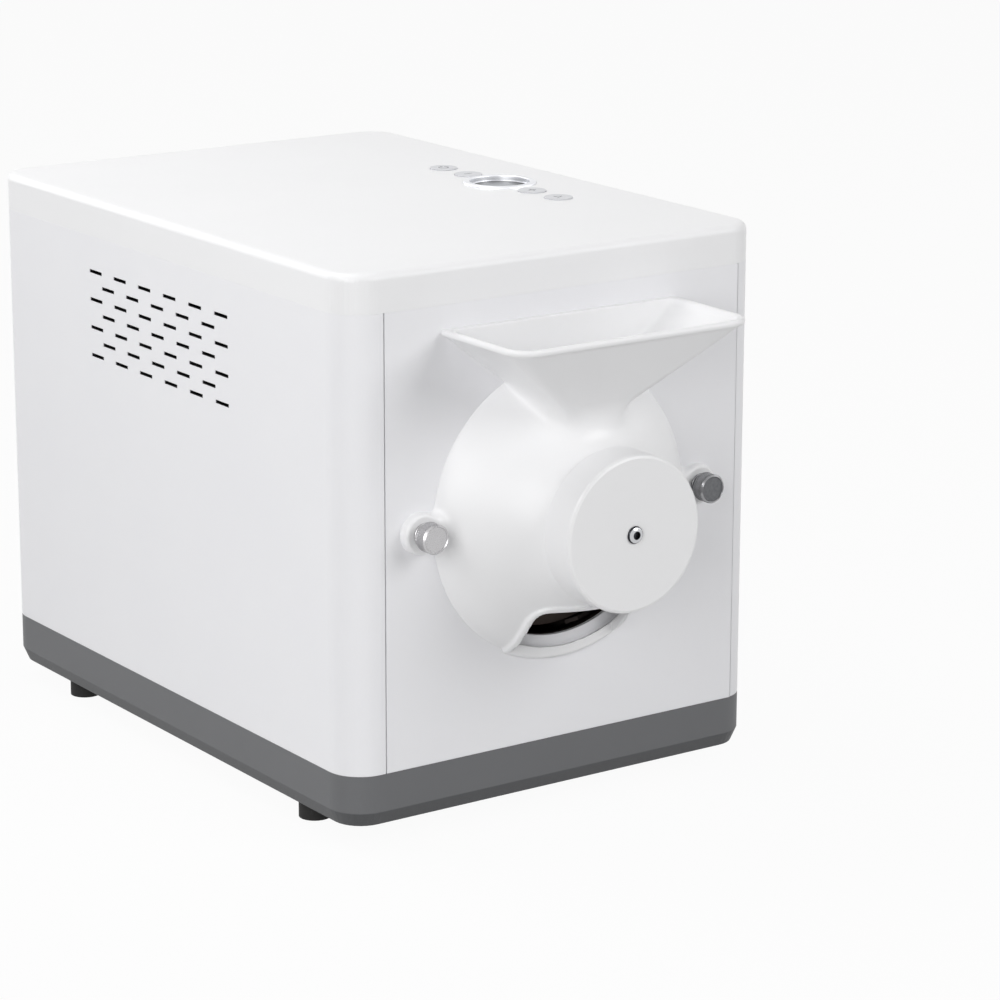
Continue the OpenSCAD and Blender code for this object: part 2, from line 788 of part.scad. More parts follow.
module roasting_chamber() color("gainsboro") difference() {
    bar(chamber_out, chamber_front, chamber_back);
    bar(chamber_r, chamber_front + chamber_t, chamber_back - chamber_t);
    bar(panel_opening_r, 0, chamber_front + chamber_t + 1);
    rear_cuts();
}

module chamber_saddles() color("silver")
    difference() {
        for (depth = saddle_depths) {
            plate(depth, depth + 3, 0, 0) difference() {
                translate([-saddle_half, floor_top]) square([2 * saddle_half, axis_z - 40 - floor_top]);
                translate([0, axis_z]) circle(chamber_out + touch, $fn = 128);
            }
            plate(depth, depth + saddle_foot, 0, 0)
                translate([-saddle_half, floor_top]) square([2 * saddle_half, 3]);
        }
        at_base_screws() translate([0, 0, floor_top - 1]) cylinder(r = base_shank_r + touch, h = 5);
    }

module rear_bulkhead() color("silver") {
    bulkhead_w = body_w - 2 * bulkhead_side;
    difference() {
        plate(chamber_back, bulkhead_back, 0, 0)
            translate([-bulkhead_w / 2, floor_top]) square([bulkhead_w, lid_z - rim_h - 7 - floor_top]);
        rear_cuts();
        for (side = [-1, 1])
            plate(chamber_back - 1, bulkhead_back + 1, side * (half_w - 32), floor_top + 31)
                square(wire_port, center = true);
    }
    plate(bulkhead_back, bulkhead_back + bulkhead_foot, 0, 0)
        translate([-bulkhead_w / 2, floor_top]) square([bulkhead_w, bulkhead_t]);
}

// Path of the rods: each entry has a point, a direction and the angle of the bend's normal
function rod_at(i, reach) = [rod_ring_r * cos(rod_angles[i]), rod_ring_r * sin(rod_angles[i]), -reach];
function rod_turn(i, depth, way) = [
    for (t = [0 : rod_turn_step : 180])
        let (p = rod_at(i, depth), q = rod_at(i + 1, depth), chord = (p - q) / 2)
        [(p + q) / 2 + cos(t) * chord + [0, 0, way * sin(t) * norm(chord)],
         -sin(t) * chord / norm(chord) + [0, 0, way * cos(t)],
         (rod_angles[i] + rod_angles[i + 1]) / 2]
];
rod_turn_step = 22.5;
rod_sides = 10;
rod_path = concat(
    [[rod_at(0, rod_end), [0, 0, 1], rod_angles[0] + rod_step / 2]],
    rod_turn(0, rod_front, 1), rod_turn(1, rod_turn_back, -1), rod_turn(2, rod_front, 1),
    [[rod_at(3, rod_end), [0, 0, -1], rod_angles[3] - rod_step / 2]]
);

// Ring of points round one entry of the path
function rod_ring(entry) =
    let (n = [cos(entry[2]), sin(entry[2]), 0], b = cross(entry[1], n))
    [for (k = [0 : rod_sides - 1])
        let (a = k * 360 / rod_sides) entry[0] + rod_r * (cos(a) * n + sin(a) * b)];

// Four rods in a row below the drum, bent from one unbroken tube
module heating_element() color("dimgray") facing(0, axis_z, 0) {
    last = len(rod_path) - 1;
    polyhedron(
        points = [for (entry = rod_path) each rod_ring(entry)],
        faces = concat(
            [[for (k = [0 : rod_sides - 1]) k]],
            [[for (k = [rod_sides - 1 : -1 : 0]) last * rod_sides + k]],
            [for (i = [0 : last - 1], k = [0 : rod_sides - 1])
                let (a = i * rod_sides + k, b = i * rod_sides + (k + 1) % rod_sides)
                each [[a, a + rod_sides, b], [b, a + rod_sides, b + rod_sides]]]
        )
    );
}

module heater_bushes() color("ivory")
    for (a = [rod_angles[0], rod_angles[3]])
        tube(rod_bush_r, rod_r + touch, chamber_back - rod_bush_l / 2, bulkhead_back + rod_bush_l / 2,
             rod_ring_r * cos(a), axis_z + rod_ring_r * sin(a));

module temperature_probe() color("silver") {
    bar(probe_r, drum_back - 20, bulkhead_back + probe_nut_l, probe_x);
    facing(probe_x, axis_z, bulkhead_back + probe_nut_l) cylinder(r = probe_nut_r, h = probe_nut_l, $fn = 6);
}

cutout_r = 8;
cutout_h = 7;
cutout_tab = [4, 1, 7];
cutout_ears = [28, 8, 2];
cutout_y = front_y + drum_front + drum_l / 2;

module overheat_cutout() color("black") translate([0, cutout_y, axis_z + chamber_out]) {
    cylinder(r = cutout_r, h = cutout_h);
    translate([-cutout_ears[0] / 2, -cutout_ears[1] / 2, 0]) cube(cutout_ears);
    for (side = [-1, 1])
        translate([side * cutout_r / 2 - cutout_tab[0] / 2, -cutout_tab[1] / 2, cutout_h]) cube(cutout_tab);
}

// ---- Drive motor ----

gearbox_r = 19;
gearbox_l = 22;
motor_r = 17.5;
motor_l = 40;
motor_boss_r = 5;
motor_boss_l = 3;
motor_bore_l = 12;
mount_t = 2;
mount_depth = motor_front - mount_t;
gearbox_back = motor_front + gearbox_l;
motor_back = gearbox_back + motor_l;
mount_post_r = 3.5;
mount_half_w = gearbox_r + 13;
mount_low = gearbox_r + 6;
mount_high = gearbox_r - 2;
mount_post_x = mount_half_w - mount_post_r - 2.5;
mount_posts = [
    [mount_post_x, mount_high - mount_post_r - 1.5],
    [mount_post_x, -mount_low + mount_post_r + 1.5],
    [-mount_post_x, -mount_low + mount_post_r + 1.5]
];

module gear_motor() color("silver") difference() {
    union() {
        bar(gearbox_r, motor_front, gearbox_back, pinion_x, pinion_z);
        bar(motor_r, gearbox_back, motor_back, pinion_x, pinion_z);
        bar(motor_boss_r, motor_back, motor_back + motor_boss_l, pinion_x, pinion_z);
    }
    bar(motor_shaft_r + touch, motor_front - 1, motor_front + motor_bore_l, pinion_x, pinion_z);
}

module motor_mount() color("silver") {
    plate(mount_depth, motor_front, pinion_x, pinion_z) difference() {
        translate([-mount_half_w, -mount_low]) square([2 * mount_half_w, mount_low + mount_high]);
        circle(motor_shaft_r + 5);
    }
    for (p = mount_posts)
        bar(mount_post_r, bulkhead_back, mount_depth, pinion_x + p[0], pinion_z + p[1]);
}

// ---- Exhaust ----

fan_t = 25;
fan_depth = back_inside - fan_t;
fan_hub_r = 12;
fan_hub_l = 17;
fan_arm_t = 4;
fan_blade_t = 1.6;
fan_blade_w = 18;
fan_blade_tilt = 50;
fan_pin_r = 1.5;
rotor_tip_r = fan_r - 1.2;
duct_t = 1.5;

module exhaust_duct() color("silver") {
    tube(duct_r, duct_r - duct_t, bulkhead_back, fan_depth, fan_x, fan_z);
}

module fan_housing() color("black") {
    plate(fan_depth, fan_depth + fan_t, fan_x, fan_z) difference() {
        square(fan_side, center = true);
        circle(fan_r);
        for (x = [-1, 1], y = [-1, 1]) translate([x, y] * (fan_side / 2 - 5)) circle(2);
    }
    plate(fan_depth + fan_t - fan_arm_t, fan_depth + fan_t, fan_x, fan_z) {
        for (k = [0 : 3])
            rotate(45 + k * 90) translate([fan_hub_r - 1, -fan_arm_t / 2])
                square([fan_r - fan_hub_r + 2, fan_arm_t]);
        circle(fan_hub_r);
    }
    bar(fan_pin_r, fan_depth + 4, fan_depth + fan_t - fan_arm_t, fan_x, fan_z);
}

module fan_rotor() color("dimgray") facing(fan_x, fan_z, fan_depth + fan_t - fan_arm_t - fit) difference() {
    union() {
        cylinder(r = fan_hub_r, h = fan_hub_l);
        intersection() {
            for (k = [0 : fan_blades - 1])
                rotate(k * 360 / fan_blades) translate([fan_hub_r - 2, 0, fan_hub_l / 2])
                    rotate([fan_blade_tilt, 0, 0]) translate([0, -fan_blade_t / 2, -fan_blade_w / 2])
                        cube([fan_r, fan_blade_t, fan_blade_w]);
            translate([0, 0, 1]) cylinder(r = rotor_tip_r, h = fan_hub_l - 2);
        }
    }
    translate([0, 0, -1]) cylinder(r = fan_pin_r + bush_clear, h = fan_hub_l + 2);
}

// ---- Mains inlet and switch ----

inlet_l = 22;
inlet_cup = 17;
inlet_pin = [2, 4];
inlet_pin_pitch = 6.5;
rocker_l = switch_size[0] - 7;
rocker_depth = body_d - 6;
rocker_pin_r = 1;
switch_l = 16;

module power_inlet() color("black") difference() {
    plate(back_inside - inlet_l, back_inside, inlet_x, inlet_z) square(inlet_size, center = true);
    plate(back_inside - inlet_cup, body_d, inlet_x, inlet_z) difference() {
        square(inlet_mouth, center = true);
        for (x = [-1, 0, 1])
            translate([x * inlet_pin_pitch, (x == 0 ? 1 : -1) * inlet_pin[1] / 2])
                square(inlet_pin, center = true);
    }
}

// Switch body that fills the panel's cut-out, with a pocket for the rocker
module switch_housing() color("black") difference() {
    union() {
        plate(back_inside - switch_l, body_d - 1, inlet_x, switch_z)
            square(switch_size - [0.2, 0.2], center = true);
        plate(back_inside - 3, back_inside, inlet_x, switch_z)
            square(switch_size + [6, 5], center = true);
    }
    plate(body_d - 11, body_d, inlet_x, switch_z) square([rocker_l + 1, switch_size[1] - 3], center = true);
    translate([inlet_x, front_y + rocker_depth, switch_z - switch_size[1] / 2])
        cylinder(r = rocker_pin_r + bush_clear, h = switch_size[1]);
}

// Rocker with two sloping faces, on a pin across the switch
module rocker() color("darkred") translate([inlet_x, front_y + rocker_depth, switch_z]) {
    translate([0, 0, -switch_size[1] / 2 + 1.8]) linear_extrude(switch_size[1] - 3.6)
        polygon([
            [-rocker_l / 2 + 1, -1], [rocker_l / 2 - 1, -1],
            [rocker_l / 2, 3.8], [0, 2.2], [-rocker_l / 2, 2.8]
        ]);
    translate([0, 0, -switch_size[1] / 2 + 0.6]) cylinder(r = rocker_pin_r, h = switch_size[1] - 1.2);
}

module base_screws() color("silver")
    at_base_screws() translate([0, 0, foot_h]) {
        cylinder(r = base_head_r, h = 1.5 - touch);
        cylinder(r = base_shank_r, h = tray_t + 4);
    }

base_tray();
feet();
left_side_cover();
right_side_cover();
front_panel();
rear_panel();
top_lid();
display_bezel();
display_lens();
control_board();
button_power();
button_down();
button_up();
button_start();
front_cover();
cover_cap();
cap_screw();
front_bush();
thumbscrew_left();
thumbscrew_right();
cover_inserts();
drum_shell();
drum_vanes();
front_spider();
drum_shaft();
drum_gear();
rear_bearing();
roasting_chamber();
chamber_saddles();
rear_bulkhead();
heating_element();
heater_bushes();
temperature_probe();
overheat_cutout();
gear_motor();
motor_mount();
motor_pinion();
exhaust_duct();
fan_housing();
fan_rotor();
power_inlet();
switch_housing();
rocker();
rear_screws();
base_screws();
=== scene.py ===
import json
import math

import bpy
import numpy as np
from mathutils import Matrix, Vector


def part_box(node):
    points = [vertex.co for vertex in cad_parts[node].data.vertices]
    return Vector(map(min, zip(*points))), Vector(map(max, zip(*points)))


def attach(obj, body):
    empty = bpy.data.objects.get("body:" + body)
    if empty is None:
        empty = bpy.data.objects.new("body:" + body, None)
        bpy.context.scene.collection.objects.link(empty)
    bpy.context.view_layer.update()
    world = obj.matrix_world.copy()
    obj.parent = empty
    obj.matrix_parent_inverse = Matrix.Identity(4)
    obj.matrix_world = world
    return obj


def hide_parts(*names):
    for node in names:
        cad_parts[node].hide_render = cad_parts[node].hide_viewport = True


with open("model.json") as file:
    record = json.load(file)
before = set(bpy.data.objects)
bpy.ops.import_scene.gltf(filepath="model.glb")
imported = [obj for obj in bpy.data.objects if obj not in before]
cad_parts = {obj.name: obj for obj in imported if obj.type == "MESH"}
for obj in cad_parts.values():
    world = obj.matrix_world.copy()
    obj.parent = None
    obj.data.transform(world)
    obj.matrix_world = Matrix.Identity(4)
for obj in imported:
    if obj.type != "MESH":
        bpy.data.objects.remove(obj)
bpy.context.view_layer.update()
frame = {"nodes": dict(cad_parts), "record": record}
scene = bpy.context.scene
mm = 0.001
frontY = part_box("front_panel")[0].y  # the front panel's outer face
print("frame loaded")


# Camera

camera = {
    "turn": 34.859,         # degrees from straight ahead, seen from above
    "tilt": 15.064,         # degrees below the horizon
    "roll": 0.138,          # degrees
    "lens": 131.3,          # mm, on a sensor 36 mm wide
    "place": (-0.98475, -1.36404, 0.60715),  # metres, Y counted from the front panel
}


def makeCamera(values):
    # forward = (sin turn cos tilt, cos turn cos tilt, -sin tilt); right lies level; up = right x forward
    turn, tilt, roll = (math.radians(values[key]) for key in ("turn", "tilt", "roll"))
    forward = Vector((math.sin(turn) * math.cos(tilt), math.cos(turn) * math.cos(tilt), -math.sin(tilt)))
    level = Vector((math.cos(turn), -math.sin(turn), 0))
    upright = level.cross(forward)
    right = math.cos(roll) * level + math.sin(roll) * upright
    up = math.cos(roll) * upright - math.sin(roll) * level
    data = bpy.data.cameras.new("photoCamera")
    data.lens = values["lens"]
    data.sensor_width = 36
    data.clip_start, data.clip_end = 0.05, 50
    eye = bpy.data.objects.new("photoCamera", data)
    x, y, z = values["place"]
    facing = Matrix((right, up, -forward)).transposed().to_4x4()
    eye.matrix_world = Matrix.Translation((x, y + frontY, z)) @ facing
    scene.collection.objects.link(eye)
    scene.camera = eye


makeCamera(camera)


# Small helpers for materials

def toLinear(hexColour):
    # sRGB to linear: below 0.04045 divide by 12.92, above it ((c + 0.055) / 1.055) to the power 2.4
    parts = [int(hexColour[i:i + 2], 16) / 255 for i in (1, 3, 5)]
    return tuple(c / 12.92 if c <= 0.04045 else ((c + 0.055) / 1.055) ** 2.4 for c in parts) + (1.0,)


def addNode(tree, kind, settings=None, values=None, links=None):
    # one node: settings are its own properties, values its sockets' numbers, links {socket: (node, output)}
    node = tree.nodes.new(kind)
    for name, value in (settings or {}).items():
        setattr(node, name, value)
    for name, value in (values or {}).items():
        node.inputs[name].default_value = value
    for name, (source, output) in (links or {}).items():
        tree.links.new(source.outputs[output], node.inputs[name])
    return node


def newMaterial(name):
    material = bpy.data.materials.new(name)
    material.use_nodes = True
    material.node_tree.nodes.clear()
    return material, material.node_tree


def surfaceMaterial(name, colour, colour2, grain, roughness, roughSpread=0.08, bump=0.02, blotch=60 * mm,
                    metallic=0.0, stretch=(1, 1, 1), coat=0.0, ior=1.45, edge=0.0, mask=None):
    # Two noises: a coarse one (blotch, in metres) drifts the colour, a fine one (grain) moves roughness
    # and bump. edge rounds the corners that catch the light, in metres; mask adds a second colour where it
    # is 1.
    material, tree = newMaterial(name)
    place = addNode(tree, "ShaderNodeTexCoord")
    spread = addNode(tree, "ShaderNodeMapping", {}, {"Scale": stretch}, {"Vector": (place, "Object")})
    coarse = addNode(tree, "ShaderNodeTexNoise", {}, {"Scale": 1 / blotch, "Detail": 3.0},
                     {"Vector": (place, "Object")})
    fine = addNode(tree, "ShaderNodeTexNoise", {}, {"Scale": 1 / grain, "Detail": 2.0, "Roughness": 0.6},
                   {"Vector": (spread, "Vector")})
    tint = addNode(tree, "ShaderNodeMix", {"data_type": "RGBA"}, {}, {"Factor": (coarse, "Fac")})
    tint.inputs[6].default_value = toLinear(colour)
    tint.inputs[7].default_value = toLinear(colour2)
    rough = addNode(tree, "ShaderNodeMapRange", {},
                    {"To Min": roughness - roughSpread, "To Max": roughness + roughSpread},
                    {"Value": (fine, "Fac")})
    raised = addNode(tree, "ShaderNodeBump", {}, {"Strength": bump, "Distance": grain},
                     {"Height": (fine, "Fac")})
    if edge:
        corner = addNode(tree, "ShaderNodeBevel", {"samples": 4}, {"Radius": edge})
        tree.links.new(corner.outputs["Normal"], raised.inputs["Normal"])
    if mask:
        colour3, covered = mask[0], mask[1](tree, place)
        plain, tint = tint, addNode(tree, "ShaderNodeMix", {"data_type": "RGBA"}, {}, {"Factor": covered})
        tree.links.new(plain.outputs[2], tint.inputs[6])
        tint.inputs[7].default_value = toLinear(colour3)
    values = {"Metallic": metallic, "Coat Weight": coat}
    if not metallic:
        values["IOR"] = ior
    shader = addNode(tree, "ShaderNodeBsdfPrincipled", {}, values,
                     {"Roughness": (rough, "Result"), "Normal": (raised, "Normal")})
    tree.links.new(tint.outputs[2], shader.inputs["Base Color"])
    addNode(tree, "ShaderNodeOutputMaterial", {}, {}, {"Surface": (shader, "BSDF")})
    return material


masks = {
    # mm
    "slotShadeStart": 0.15, "slotShadeFull": 0.5,  # depth in the sheet where the painted shade on a slot's wall starts, is full
    "slotsFrom": 60.0, "slotsTo": 320.0,  # the slotted part of the side covers, from the front panel back
    "undercutShadeFrom": 17.7, "undercutShadeFull": 17.1,  # height where the painted shade on the undercut starts and is full
    "reflectionFull": 5.0, "windowTint": 13.0,  # radius where the painted pale reflection starts to fade into the display's tint, and where the tint is full
}


def slotShadeMask(tree, place):
    # 1 where shade is painted: slot walls and behind them, on the flat of the sheet, deeper than its face
    axes = addNode(tree, "ShaderNodeSeparateXYZ", {}, {}, {"Vector": (place, "Object")})
    side = addNode(tree, "ShaderNodeMath", {"operation": "ABSOLUTE"}, {}, {0: (axes, "X")})
    depth = addNode(tree, "ShaderNodeMapRange", {},
                    {"From Min": sideX - masks["slotShadeStart"] * mm, "From Max": sideX - masks["slotShadeFull"] * mm},
                    {"Value": (side, 0)})
    ahead = addNode(tree, "ShaderNodeMath", {"operation": "GREATER_THAN"},
                    {1: frontY + masks["slotsFrom"] * mm}, {0: (axes, "Y")})
    behind = addNode(tree, "ShaderNodeMath", {"operation": "LESS_THAN"},
                     {1: frontY + masks["slotsTo"] * mm}, {0: (axes, "Y")})
    flat = addNode(tree, "ShaderNodeMath", {"operation": "MULTIPLY"}, {}, {0: (ahead, 0), 1: (behind, 0)})
    return addNode(tree, "ShaderNodeMath", {"operation": "MULTIPLY"}, {}, {0: (depth, 0), 1: (flat, 0)}), 0


def trayUndercutShade(tree, place):
    # 1 on the slanting undercut round the tray's foot, by height: there the grey is painted darker as shade
    axes = addNode(tree, "ShaderNodeSeparateXYZ", {}, {}, {"Vector": (place, "Object")})
    return addNode(tree, "ShaderNodeMapRange", {},
                   {"From Min": masks["undercutShadeFrom"] * mm, "From Max": masks["undercutShadeFull"] * mm},
                   {"Value": (axes, "Z")}), 0


def windowReflectionMask(tree, place):
    # 1 in the middle of the display, where a pale reflection is painted, falling to 0 on the tinted border:
    # by the distance from its centre
    centred = addNode(tree, "ShaderNodeVectorMath", {"operation": "DISTANCE"},
                      {1: (windowX, windowY, windowZ)}, {0: (place, "Object")})
    return addNode(tree, "ShaderNodeMapRange", {},
                   {"From Min": masks["windowTint"] * mm, "From Max": masks["reflectionFull"] * mm},
                   {"Value": (centred, "Value")}), 0


# The roaster's own finishes

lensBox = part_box("display_lens")
windowX, windowY = (lensBox[0].x + lensBox[1].x) / 2, (lensBox[0].y + lensBox[1].y) / 2
lensProud = 0.6 * mm  # the solid lens stands this far above the lid
glassSunk = 1.4 * mm  # the scene's glass lies this far below the lid
lidTop = lensBox[1].z - lensProud
windowZ = lidTop - glassSunk
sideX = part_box("right_side_cover")[1].x

finishes = {
    # powder coat on steel sheet: sprayed and baked, a faint orange peel with grains of about 1.5 mm
    "whitePowderCoat": dict(colour="#eeeef0", colour2="#ebebee", grain=1.5 * mm, roughness=0.42, bump=0.03,
                            edge=0.5 * mm),
    # the same coat on the slotted sides: the slots' walls and what lies behind them get painted shade
    "powderCoatSlotShade": dict(colour="#eeeef0", colour2="#ebebee", grain=1.5 * mm, roughness=0.42, bump=0.03,
                              edge=0.5 * mm, mask=("#1c1c1e", slotShadeMask)),
    # glossy ABS: injection moulded, nearly smooth, soft wide highlights
    "whiteAbs": dict(colour="#f0f0f1", colour2="#ededee", grain=3 * mm, roughness=0.34, bump=0.01),
    # textured ABS: spark-eroded mould, a fine even grain of about 0.6 mm; the undercut, which faces
    # down, is painted darker as shade
    "greyAbsUndercutShade": dict(colour="#68696b", colour2="#646567", grain=0.6 * mm, roughness=0.55, bump=0.12,
                    edge=0.6 * mm, mask=("#4a4b4d", trayUndercutShade)),
    # steel sheet inside the roaster: darkened by heat and burnt-on oil, with brown and black blotches
    "seasonedSteel": dict(colour="#3a302a", colour2="#221c19", grain=1 * mm, roughness=0.5, bump=0.03,
                          metallic=0.7, blotch=25 * mm),
    # natural rubber: moulded, dull with a little dust
    "blackRubber": dict(colour="#161616", colour2="#1d1c1b", grain=0.8 * mm, roughness=0.8, bump=0.1),
    # chrome plate: polished, mirror-like with faint wipe marks
    "chromePlate": dict(colour="#c9cacc", colour2="#c0c1c4", grain=6 * mm, roughness=0.12, roughSpread=0.04,
                        bump=0.004, metallic=1.0),
    # satin chrome: brushed before plating, bright without mirroring
    "satinChrome": dict(colour="#e4e5e8", colour2="#dddee1", grain=0.8 * mm, roughness=0.38, roughSpread=0.05,
                        bump=0.01, metallic=1.0),
    # turned steel: lathe lines run round the head, about 0.2 mm apart, drawn as coarse as 0.5 mm
    "turnedSteel": dict(colour="#c4c3c4", colour2="#b8b7b9", grain=0.5 * mm, roughness=0.28, bump=0.03,
                        metallic=1.0),
    # the same steel on the right screw's head, darker and blotchy
    "rightScrewSteel": dict(colour="#a3a3a5", colour2="#77787a", grain=0.5 * mm, roughness=0.24, bump=0.05,
                      metallic=1.0, blotch=2.5 * mm),
    # the same steel on the right screw's sunk face, darker still, greyer and coarser
    "rightScrewFaceSteel": dict(colour="#77787a", colour2="#505154", grain=0.7 * mm, roughness=0.42, bump=0.3,
                        metallic=1.0, blotch=1.2 * mm),
    # dark polished steel, painted as shade in the cap screw's socket and as a dark reflection on its lower
    # edge; mirrors the lamps as small bright spots
    "darkShadeSteel": dict(colour="#3c3d41", colour2="#333438", grain=4 * mm, roughness=0.15, roughSpread=0.03,
                       bump=0.004, metallic=1.0),
    # bright steel sheet: rolled, a streaky grain along the sheet
    "brightSheet": dict(colour="#b9babb", colour2="#a9aaab", grain=1 * mm, roughness=0.35, bump=0.02,
                        metallic=1.0, stretch=(1, 0.06, 1)),
    # sintered bronze: pressed powder, dull and speckled, oil-darkened
    "sinteredBronze": dict(colour="#8f6a3c", colour2="#73522c", grain=0.6 * mm, roughness=0.5, bump=0.08,
                           metallic=1.0),
    # turned brass: bright and smooth
    "turnedBrass": dict(colour="#c9a35a", colour2="#b9924a", grain=0.6 * mm, roughness=0.28, bump=0.02,
                        metallic=1.0),
    # black ABS: moulded, satin
    "blackAbs": dict(colour="#17181a", colour2="#1d1e20", grain=0.8 * mm, roughness=0.5, bump=0.06),
    # natural polyamide: moulded gears, waxy ivory
    "ivoryPolyamide": dict(colour="#e2dac4", colour2="#d8ceb4", grain=2 * mm, roughness=0.45, bump=0.02),
    # epoxy glass board: green solder mask over a woven sheet
    "greenBoard": dict(colour="#12452a", colour2="#0f3a24", grain=1.2 * mm, roughness=0.35, bump=0.03),
    # light grey ABS key: moulded, smooth and slightly shiny
    "greyKeyAbs": dict(colour="#d2d3d6", colour2="#cccdd1", grain=2 * mm, roughness=0.35, bump=0.01),
    # pad print on the keys: a thin matt grey ink
    "greyInk": dict(colour="#77787c", colour2="#6c6d72", grain=0.4 * mm, roughness=0.6, bump=0.02),
    # acrylic window: moulded, tinted dark, with a pale grey reflection painted in its middle that fades
    # towards the border
    "acrylicWindowReflection": dict(colour="#141517", colour2="#191a1d", grain=10 * mm, roughness=0.3, roughSpread=0.02,
                          bump=0.002, ior=1.2, mask=("#97999e", windowReflectionMask)),
    # sheathed heating rod: nickel alloy, oxidised dark by heat
    "oxidisedRod": dict(colour="#4a4644", colour2="#37302d", grain=1 * mm, roughness=0.5, bump=0.05,
                        metallic=1.0),
    # red polycarbonate rocker: moulded, glossy
    "redRocker": dict(colour="#8e1a14", colour2="#861812", grain=3 * mm, roughness=0.25, bump=0.01),
}
materials = {name: surfaceMaterial(name, **values) for name, values in finishes.items()}

slotFinish = {
    "white_metal": "whitePowderCoat", "white_plastic": "whiteAbs", "grey_plastic": "greyAbsUndercutShade",
    "rubber": "blackRubber", "chrome": "chromePlate", "bright_steel": "brightSheet",
    "sintered_bronze": "sinteredBronze", "brass": "turnedBrass", "black_plastic": "blackAbs",
    "ivory_plastic": "ivoryPolyamide", "circuit_board": "greenBoard", "button_grey": "greyKeyAbs",
    "lens": "acrylicWindowReflection", "heater_steel": "oxidisedRod", "red_plastic": "redRocker",
}
nodeFinish = {
    # the side covers carry painted shade in and behind their slots
    "left_side_cover": "powderCoatSlotShade", "right_side_cover": "powderCoatSlotShade",
    "drum_shell": "seasonedSteel", "drum_vanes": "seasonedSteel", "front_spider": "seasonedSteel",
    "roasting_chamber": "seasonedSteel",
}


def dressNodes():
    for part in frame["record"]["subparts"]:
        name = part["node"]
        finish = nodeFinish.get(name, slotFinish[part["material_slot"]])
        mesh = frame["nodes"][name].data
        mesh.materials.clear()
        mesh.materials.append(materials[finish])


dressNodes()
print("nodes dressed:", len(frame["nodes"]))


# Front cover, with the round blends of a moulding

cover = {
    # mm; U to the right, V up from the drum's axis, W forward from the panel
    "rimRadius": 72.8, "neckRadius": 36.5, "reach": 41.0, "wall": 3.0,
    "mouthHalf": 67.9, "mouthReach": 62.4, "mouthCorner": 13.0, "mouthTop": 94.7,
    "lipHeight": 2.4, "lipOut": 1.2, "lipRound": 1.2, "lipBlend": 1.6,
    "funnelWall": 1.9, "throatRadius": 24.0, "throatUp": 70.0, "throatReach": 28.5,
    "funnelFrom": 30.0,     # height above the axis from which there is any funnel
    "blend": 16.0, "blendLeast": 1.5,  # width of the blend of hopper and bell: fullest, and at the panel
    "blendFrom": 22.0,      # distance from the panel over which the blend opens up
    "outletHalf": 30.0, "outletTop": -42.0, "outletFrom": 3.0, "outletCorner": 6.0,
    "beadOut": 1.7, "beadWidth": 3.2, "beadCorner": 10.0, "beadRound": 1.5, "beadBlend": 1.0,
    "earPlace": 81.0, "earRadius": 10.0, "earThick": 5.0, "earHole": 2.8, "earRound": 2.0, "earBlend": 6.0,
    "hubRadius": 13.0, "hubBack": 22.0, "hubBlend": 1.5, "bushRadius": 9.0,
    "faceRound": 1.0,       # rounding between the bell and its flat face
    "faceBehind": 1.0,      # bead and hub end this far behind that face
    "edgeRound": 0.9,       # rounding of the free edges
    "boreRound": 0.5,       # rounding of the holes' edges
    "innerRound": 3.0,      # rounding of the corners inside
    "farOff": 60.0,         # a distance that stands for far away
    "step": 1.08,           # spacing of the sampling grid
    "room": (2.5, 2.5, 1.5), "roomAbove": 2.0,  # the grid goes this far past the cover
    "slideMost": 0.3, "slideTurns": 3,  # a point slides this far at most each time, this many times
    "footHeight": 0.6, "footReach": 0.8,  # within so many steps of panel and body a point is on the edge
}


def smoothMin(a, b, width):
    # lesser of two distances, with a parabola over the band where they differ by less than width
    mix = np.clip(0.5 + 0.5 * (b - a) / width, 0, 1)
    return b + (a - b) * mix - width * mix * (1 - mix)


def smoothMax(a, b, width):
    return -smoothMin(-a, -b, width)


def bellDistance(p, c):
    # Distance from the bell: the radius falls from rim to neck by the mean of a straight line and a half
    # cosine. The radial gap is divided by the slope's length, which makes it a distance to first order.
    s = np.clip(p[2] / c["reach"], 0, 1)
    fall = c["rimRadius"] - c["neckRadius"]
    radius = c["neckRadius"] + fall * (0.5 * (1 - s) + 0.25 * (1 + np.cos(np.pi * s)))
    slope = fall / c["reach"] * (0.5 + 0.25 * np.pi * np.sin(np.pi * s))
    return (np.hypot(p[0], p[1]) - radius) / np.sqrt(1 + slope ** 2)


def mouthDistance(p, half, reach, corner):
    # Distance from a rectangle with round corners, seen from above; its back lies on the panel
    du, dw = np.abs(p[0]) - (half - corner), p[2] - (reach - corner)
    return np.hypot(np.maximum(du, 0), np.maximum(dw, 0)) + np.minimum(np.maximum(du, dw), 0) - corner


def funnelPlanes(half, reach, corner, radius, throatReach, mouthV, throatV):
    # Planes that touch both the mouth's outline and the throat's front circle: for each direction turn on
    # plan the tilt is found by halving, until mouth and throat reach equally far along the normal. The
    # throat's underside adds planes that touch the cylinder alone.
    turn = np.radians(np.linspace(-90, 90, 61))
    sine, cosine = np.abs(np.sin(turn)), np.cos(turn)
    span = (half - corner) * sine + (reach - corner) * cosine + corner
    low, high = np.zeros_like(turn), np.full_like(turn, np.pi / 2)
    for _ in range(40):
        tilt = (low + high) / 2
        excess = (np.cos(tilt) * (span - throatReach * cosine) - np.sin(tilt) * (mouthV - throatV)
                  - radius * np.sqrt((np.cos(tilt) * sine) ** 2 + np.sin(tilt) ** 2))
        low, high = np.where(excess > 0, tilt, low), np.where(excess > 0, high, tilt)
    sides = np.stack([np.cos(tilt) * np.sin(turn), -np.sin(tilt), np.cos(tilt) * cosine])
    reachSides = np.cos(tilt) * span - np.sin(tilt) * mouthV
    under = np.linspace(-1, 1, 25) * (np.pi / 2 - tilt[0])
    below = np.stack([np.sin(under), -np.cos(under), 0 * under])
    return np.hstack([sides, below]), np.hstack([reachSides, radius - np.cos(under) * throatV])


